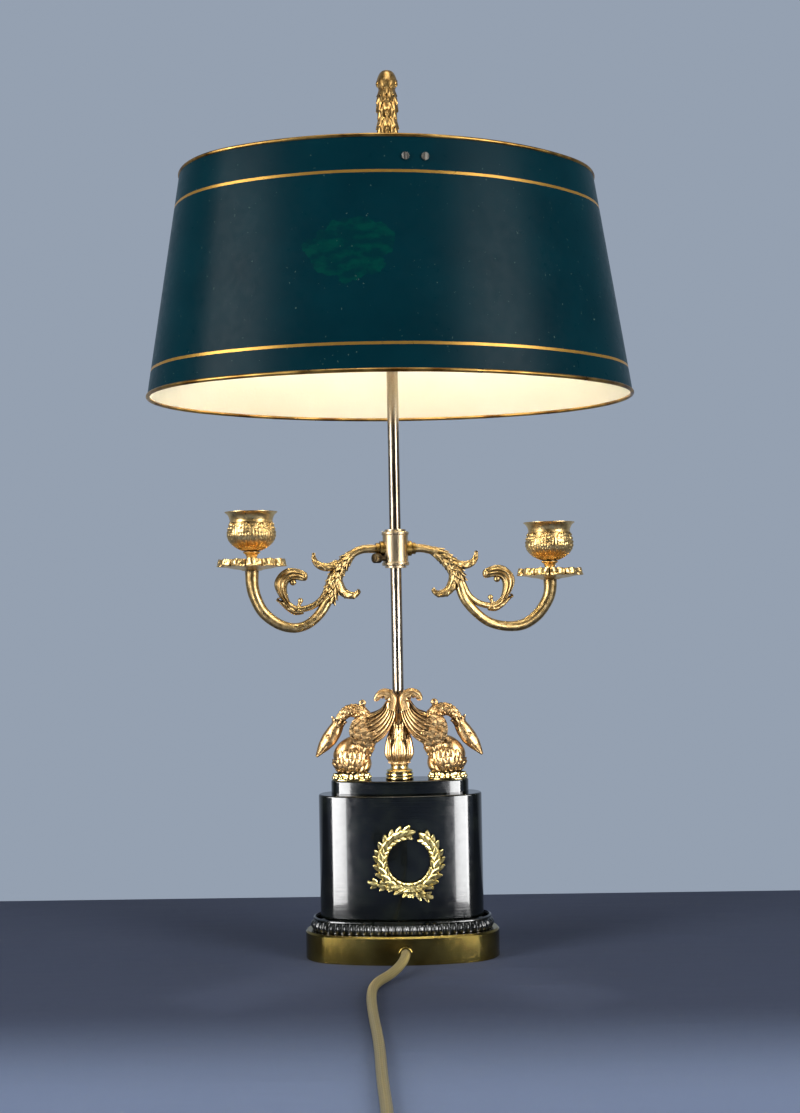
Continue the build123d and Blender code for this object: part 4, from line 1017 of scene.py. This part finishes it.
def broad_leaf(u, v):
    """Ribbed leaf that wraps the bowl and stands off it at the tip."""
    height = 0.0139 + 0.0166 * u
    half = 0.0059 * min((u * 3.2 + 0.22), 1) * sqrt(max(1 - (max(u - 0.5, 0) / 0.505) ** 2.4, 0))
    ribs = 0.0006 * abs(cos(2.5 * pi * v)) * min(1, (1 - u) * 3)
    radius = between(bowl_smooth, height) + 0.0004 + ribs + 0.0002 * max(u - 0.75, 0) / 0.25
    angle = half * v / max(between(bowl_smooth, height), 0.006)
    return polar(radius, angle, height - 0.0010 * abs(v) ** 2 * u)


def beaded_leaf(u, v):
    """Upper leaf between two broad ones, its face worked with small beads."""
    height = 0.0200 + 0.0132 * u
    half = 0.0052 * sqrt(max(1 - (max(u - 0.4, 0) / 0.61) ** 3, 0))
    beads = 0.0010 * abs(sin(5 * pi * u)) * abs(cos(2.5 * pi * v))
    radius = between(bowl_smooth, height) + 0.0002 + beads + 0.0003 * (1 - abs(v))
    angle = half * v / between(bowl_smooth, height)
    return polar(radius, angle, height)


def cup_mesh():
    """Turned cup with its leaves, on the same origin as the pan."""
    work = bmesh.new()
    stem = [(0, 0.0046), (0.0056, 0.0046), (0.0060, 0.0052), (0.0052, 0.0060), (0.0040, 0.0074),
            (0.0037, 0.0092), (0.0042, 0.0112), (0.0056, 0.0122), (0.0060, 0.0130), (0.0052, 0.0136)]
    lip = [(0.0150, 0.0336), (0.0147, 0.0342), (0.0149, 0.0356), (0.0154, 0.0372), (0.0163, 0.0388),
           (0.0178, 0.0401), (0.0182, 0.0404), (0.0182, 0.0408), (0.0176, 0.0408), (0.0162, 0.0396),
           (0.0135, 0.0372), (candle_bore_r, 0.0358), (candle_bore_r, 0.0188), (0, 0.0188)]
    turned(work, soft_outline(stem, 3)[:-1] + bowl_smooth + lip, 96)
    bead = [polar(bead_r, angle, bead_z) for angle in round_angles(72, True)]
    rod_along(work, bead, 0.0004, 6, side_way=(0, 0, 1))
    broad = blade("broad_leaf", 16, 21, broad_leaf, 0.0006)
    beaded = blade("beaded_leaf", 17, 13, beaded_leaf, 0.0004)
    leaf_rings(work, leaf_count, broad, beaded)
    return to_mesh(work, "cup")


pan_form, cup_form = pan_mesh(), cup_mesh()
for side, heading in (("left", arms_turn + pi), ("right", arms_turn)):
    low, high = (Vector(corner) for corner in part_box("drip_pan_" + side))
    seat = Vector(((low.x + high.x) / 2, (low.y + high.y) / 2, low.z))
    for form, name, node in ((pan_form, "shell_pan_", "drip_pan_"), (cup_form, "leaf_cup_", "candle_cup_")):
        work = bmesh.new()
        lay(work, form, Matrix.Translation(seat) @ Matrix.Rotation(heading, 4, "Z"))
        set_piece(name + side, work, "candle_arms", "gilt", cups_gold, node + side, crease=50)

# ---- Lights ----
# Out of sight in the shade: a brass hub pinned to the rod, two lampholders on it with frosted bulbs, and
# the rubber lead that comes up through the rod.
def opal_glass(name):
    """Frosted white glass, lit from within."""
    finish = new_finish(name, Roughness=0.45, Transmission_Weight=0.35, Emission_Strength=13.0,
                        Emission_Color=(1.0, 0.96, 0.86, 1))
    lead_colour(finish, speckle(finish, 120, 0.2, 0.8), tone(250, 240, 218), tone(255, 252, 240))
    return finish


def black_plastic(name, pale, dark):
    """Pressed phenolic resin with a faint mottle and rubbed edges."""
    finish = new_finish(name, Roughness=0.35, Coat_Weight=0.2)
    lead_colour(finish, speckle(finish, 260, 0.35, 0.8, 8), tone(*dark), tone(*pale))
    lead_value(finish, speckle(finish, 700, 0.2, 0.8), 0.28, 0.5)
    relief(finish, speckle(finish, 1800, 0.2, 0.8), 0.00003, 0.5)
    return finish


dress(opal_glass("bulb_glass"), "bulb_left", "bulb_right")
dress(spun_brass("holder_brass", (208, 172, 100), (142, 110, 54), 0.34), "lampholder_left",
      "lampholder_right", "cluster_hub")
dress(black_plastic("lead_rubber", (40, 38, 36), (18, 17, 16)), "supply_lead")

# ---- Shade ----
# Painted tin-plate in an oval that narrows upwards: deep blue-green with two gold lines outside and warm
# cream inside, its edges rolled over brass wire. A strap riveted across it carries the sleeve.
shade_turn = radians(11)
shade_half_w, shade_half_d, shade_end_r = 0.170, 0.128, 0.105
shade_low_z, shade_high_z, shade_inset, tin = 0.388, 0.5415, 0.024, 0.0008
line_low_z, line_high_z, line_width = 0.4052, 0.5175, 0.0019
patch_x, patch_z, patch_r = -0.022, 0.4665, 0.036


def shade_paint():
    """Satin blue-green enamel with brushed gold lines, small chips and one retouched patch."""
    finish = new_finish("shade_enamel", Roughness=0.4, Specular_IOR_Level=0.05)
    tree = finish.node_tree

    def measure(operation, *values):
        return maths(tree, operation, *values)

    place = new_node(tree, "SeparateXYZ", {0: new_node(tree, "TexCoord").outputs["Object"]}).outputs
    wobble = measure("MULTIPLY", measure("SUBTRACT", speckle(finish, 30, 0, 1), 0.5), 0.0006)
    height = measure("ADD", place["Z"], wobble)
    ground = lead_colour(finish, speckle(finish, 26, 0.3, 0.75, 8), tone(9, 42, 50), tone(12, 48, 56))
    off_x = measure("SUBTRACT", place["X"], patch_x)
    off_z = measure("MULTIPLY", measure("SUBTRACT", place["Z"], patch_z), 1.35)
    squares = [measure("MULTIPLY", off, off) for off in (off_x, off_z)]
    ragged = measure("ADD", measure("SQRT", measure("ADD", *squares)),
                     measure("MULTIPLY", speckle(finish, 75, 0.2, 0.8, 8), 0.016))
    patch = measure("MULTIPLY", measure("LESS_THAN", ragged, patch_r), measure("LESS_THAN", place["Y"], 0))
    daubs = measure("MULTIPLY", patch, speckle(finish, 110, 0.42, 0.62, 8, (1, 1, 1.8)))
    ground = blend(tree, measure("MULTIPLY", patch, 0.5), ground, tone(8, 48, 50))
    ground = blend(tree, measure("MULTIPLY", daubs, 0.75), ground, tone(9, 62, 56))
    chips = measure("GREATER_THAN", speckle(finish, 420, 0.3, 0.74, 2), 0.995)
    ground = blend(tree, measure("MULTIPLY", chips, 0.5), ground, tone(86, 112, 104))
    offs = [measure("ABSOLUTE", measure("SUBTRACT", height, middle)) for middle in (line_low_z, line_high_z)]
    gold = measure("ADD", *[measure("LESS_THAN", off, line_width / 2) for off in offs])
    worn = measure("MULTIPLY", gold, measure("ADD", speckle(finish, 240, 0.15, 0.5, 6), 0.45))
    painted = measure("MINIMUM", worn, 1.0)
    lead_colour(finish, painted, ground, tone(176, 134, 66))
    lead_value(finish, painted, 0.0, 0.6, "Metallic")
    lead_value(finish, speckle(finish, 190, 0.25, 0.75, 8), 0.26, 0.38)
    relief(finish, speckle(finish, 70, 0.2, 0.8, 5), 0.00008, 0.3)
    relief(finish, speckle(finish, 900, 0.2, 0.8, 3), 0.00003, 0.5)
    return finish


def cream_paint():
    """Matt warm white, a little yellowed by the bulbs."""
    finish = new_finish("cream_enamel", Roughness=0.6)
    lead_colour(finish, speckle(finish, 18, 0.3, 0.75, 6), tone(248, 242, 224), tone(252, 248, 234))
    lead_value(finish, speckle(finish, 220, 0.3, 0.7), 0.5, 0.75)
    relief(finish, speckle(finish, 500, 0.2, 0.8, 5), 0.0001, 0.4)
    return finish


def shade_ring(share, wall):
    """Ring round the shade at this share of its height, this far inside its painted face."""
    height = shade_low_z + (shade_high_z - shade_low_z) * share
    inset = shade_inset * share + wall
    places = oval_places(shade_half_w, shade_half_d, shade_end_r, 288)
    return [(*(place - outward * inset), height) for place, outward in places]


work = bmesh.new()
levels = 12
outside = [shade_ring(level / levels, 0) for level in range(levels + 1)]
inside = [shade_ring(level / levels, tin) for level in range(levels, -1, -1)]
skin(work, outside + inside + outside[:1], capped=False)
bmesh.ops.recalc_face_normals(work, faces=work.faces)
for face in work.faces:
    if face.normal.xy.dot(face.calc_center_median().xy) < 0:
        face.material_index = 1
bmesh.ops.transform(work, matrix=Matrix.Rotation(shade_turn, 4, "Z"), verts=work.verts)
set_piece("tin_shade", work, "shade", "tole", [shade_paint(), cream_paint()], "shade_shell", crease=60)
dress(spun_brass("rim_brass", (206, 164, 92), (110, 76, 34), 0.35), "shade_bottom_rim", "shade_top_rim")
dress(spun_brass("strap_brass", (196, 160, 92), (120, 90, 42), 0.4), "shade_strap", "shade_sleeve",
      "sleeve_nut")
dress(pewter_finish("rivet_steel", (232, 230, 222), (170, 160, 140), 0.25), "shade_rivets")

# ---- Finial ----
# Cast and chased knob that screws on the rod's end: a bird's neck in four tiers of broad feathers, with a
# smooth bent head whose beak points away from the flex.
finial_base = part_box("finial")[0][2]
finial_sides, feathers_round, feather_rows, row_height = 112, 8, 12, 0.0056
# height over the seat, Y of the middle, half width, half depth, and the feathers' depth as a share
finial_rows = [
    (0.0000, 0.0000, 0.0072, 0.0072, 0.0), (0.0010, 0.0000, 0.0075, 0.0075, 0.0),
    (0.0030, 0.0000, 0.0075, 0.0075, 0.0), (0.0040, 0.0000, 0.0066, 0.0066, 0.0),
    (0.0060, 0.0000, 0.0054, 0.0054, 0.0), (0.0105, 0.0000, 0.0054, 0.0054, 0.2),
    (0.0135, 0.0000, 0.0062, 0.0064, 0.8), (0.0200, 0.0000, 0.0071, 0.0076, 1.0),
    (0.0280, -0.0003, 0.0074, 0.0081, 1.0), (0.0360, -0.0010, 0.0067, 0.0074, 1.0),
    (0.0430, -0.0016, 0.0073, 0.0072, 1.0), (0.0490, -0.0019, 0.0072, 0.0069, 1.0),
    (0.0535, -0.0014, 0.0062, 0.0062, 0.9), (0.0570, -0.0006, 0.0058, 0.0064, 0.5),
    (0.0600, 0.0008, 0.0068, 0.0076, 0.2), (0.0630, 0.0018, 0.0073, 0.0080, 0.0),
    (0.0670, 0.0027, 0.0064, 0.0073, 0.0), (0.0700, 0.0033, 0.0048, 0.0057, 0.0),
    (0.0712, 0.0036, 0.0030, 0.0038, 0.0), (0.0715, 0.0036, 0.0008, 0.0010, 0.0)]

work = bmesh.new()
places = smooth_line([row[:3] for row in finial_rows], 9)
sizes = smooth_line([(row[3], row[4], 0) for row in finial_rows], 9)
rings = []
for (height, middle_y, half_w), (half_d, relief_share, _) in zip(places, sizes):
    ring = []
    for side, angle in enumerate(round_angles(finial_sides)):
        feathers = plumes(feathers_round * side / finial_sides, feather_rows - height / row_height, 1.85, 2.4)
        rise = 0.0020 * relief_share * (feathers - 0.55)
        ring.append(((half_w + rise) * cos(angle), middle_y + (half_d + rise) * sin(angle),
                     finial_base + height))
    rings.append(ring)
skin(work, rings)
for face in (-1, 1):
    ball(work, (face * 0.0056, 0, finial_base + 0.0612), (0.0022, 0.0034, 0.0026), 24, 16)
    ball(work, (face * 0.0064, 0.0050, finial_base + 0.0648), 0.0012)
beak = smooth_line([(0, 0.0060, finial_base + 0.0632), (0, 0.0110, finial_base + 0.0606),
                    (0, 0.0148, finial_base + 0.0568), (0, 0.0172, finial_base + 0.0530)], 8)
rod_along(work, beak, [0.0034 * (1 - i / 25) ** 0.7 + 0.0006 for i in range(25)], 24, 1.0, (1, 0, 0))
finial_gold = chased_gold("finial_gold", (206, 170, 108), (140, 102, 54), (36, 20, 8), 0.34, 0.0022)
set_piece("feathered_finial", work, "finial", "gilt", finial_gold, "finial", crease=50)

# ---- Switch, plug and tie ----
# A two-part moulded rocker switch in the flex, and a two-pin plug where the wound flex ends. Both hold the
# flex in a ribbed sleeve. A cloth strap keeps the coil together.
bakelite = black_plastic("brown_bakelite", (74, 44, 26), (34, 18, 12))
dress(bakelite, "switch_base", "switch_cover", "plug_body")
dress(black_plastic("ivory_rocker", (236, 226, 200), (206, 192, 158)), "switch_rocker")
dress(spun_brass("pin_brass", (222, 190, 120), (160, 130, 70), 0.28), "plug_pins")


def webbing(name):
    """Woven cotton, dark and a little fluffy."""
    finish = new_finish(name, Roughness=0.95, Sheen_Weight=0.4)
    lead_colour(finish, speckle(finish, 900, 0.3, 0.7, 3, (1, 1, 3)), tone(26, 24, 22), tone(58, 54, 48))
    relief(finish, speckle(finish, 1600, 0.2, 0.8, 2, (1, 3, 1)), 0.0003)
    return finish


dress(webbing("tie_webbing"), "cord_tie")

# ---- Studio ----
# A table under a blue-grey cloth that ends a little behind the lamp, two low soft panels close in front, a
# tall softbox on each side and one overhead. The cloth is paler towards the camera by a painted pool of
# light, and the room is pale behind the lamp and dark elsewhere.
table_low, table_high = (-1.0, -0.98, -0.02), (1.0, 0.215, 0.0)
room_front, room_back = (0.30, 0.355, 0.44, 1), (0.020, 0.022, 0.026, 1)


def fade_along_y(tree, place, start, end):
    """0 up to the start and 1 from the end on, along Y."""
    span = {"Value": new_node(tree, "SeparateXYZ", {0: place}).outputs["Y"], "From Min": start,
            "From Max": end}
    return new_node(tree, "MapRange", span, interpolation_type="SMOOTHSTEP").outputs[0]


work = bmesh.new()
bmesh.ops.create_cube(work, size=1)
for vert in work.verts:
    vert.co = Vector(high if share > 0 else low for low, high, share in zip(table_low, table_high, vert.co))
edges = [edge for edge in work.edges if all(abs(vert.co.z) < 1e-6 for vert in edge.verts)]
bmesh.ops.bevel(work, geom=edges, offset=0.008, segments=4, profile=0.5, affect="EDGES", material=-1)
mesh = to_mesh(work, "table_top")
table = new_object("table_top", mesh)
cloth = new_finish("table_cloth", Roughness=0.9, Specular_IOR_Level=0.2)
# Painted light: a pool of light painted on the cloth makes it paler towards the camera.
painted_light_near = fade_along_y(cloth.node_tree, new_node(cloth.node_tree, "TexCoord").outputs["Object"], -0.13, -0.31)
lead_colour(cloth, painted_light_near, (0.040, 0.050, 0.084, 1), (0.15, 0.19, 0.29, 1))
relief(cloth, speckle(cloth, 5, 0.2, 0.8, 3, (1, 3, 1)), 0.006, 0.4)
mesh.materials.append(cloth)


def softbox(name, heading, distance, height, width, tall, power, aim=(0, 0, 0.30), beam=pi):
    """Flat lamp at a heading from the camera's side, with the point it faces and its beam's angle."""
    lamp = bpy.data.lights.new(name, "AREA")
    lamp.shape = "RECTANGLE"
    lamp.size, lamp.size_y = width, tall
    lamp.energy = power
    lamp.spread = beam
    holder = new_object(name, lamp)
    place = Vector((distance * sin(heading), -distance * cos(heading), height))
    aim = Vector(aim) - place
    holder.matrix_world = Matrix.Translation(place) @ aim.to_track_quat("-Z", "Y").to_matrix().to_4x4()


for name, heading in (("low_panel_left", -45), ("low_panel_right", 43)):
    softbox(name, radians(heading), 0.20, 0.126, 0.055, 0.24, 0.12, (0, 0, 0.126), radians(60))
for name, heading, power in (("softbox_left", -57, 16.0), ("softbox_right", 54, 15.0)):
    softbox(name, radians(heading), 1.30, 0.72, 0.60, 0.95, power)
softbox("overhead", radians(12), 0.30, 1.50, 0.6, 0.6, 5.0)

room = bpy.data.worlds.new("room")
bpy.context.scene.world = room
room.use_nodes = True
tree = room.node_tree
ahead = fade_along_y(tree, new_node(tree, "TexCoord").outputs["Generated"], -0.1, 0.8)
tree.links.new(blend(tree, ahead, room_back, room_front), tree.nodes["Background"].inputs["Color"])
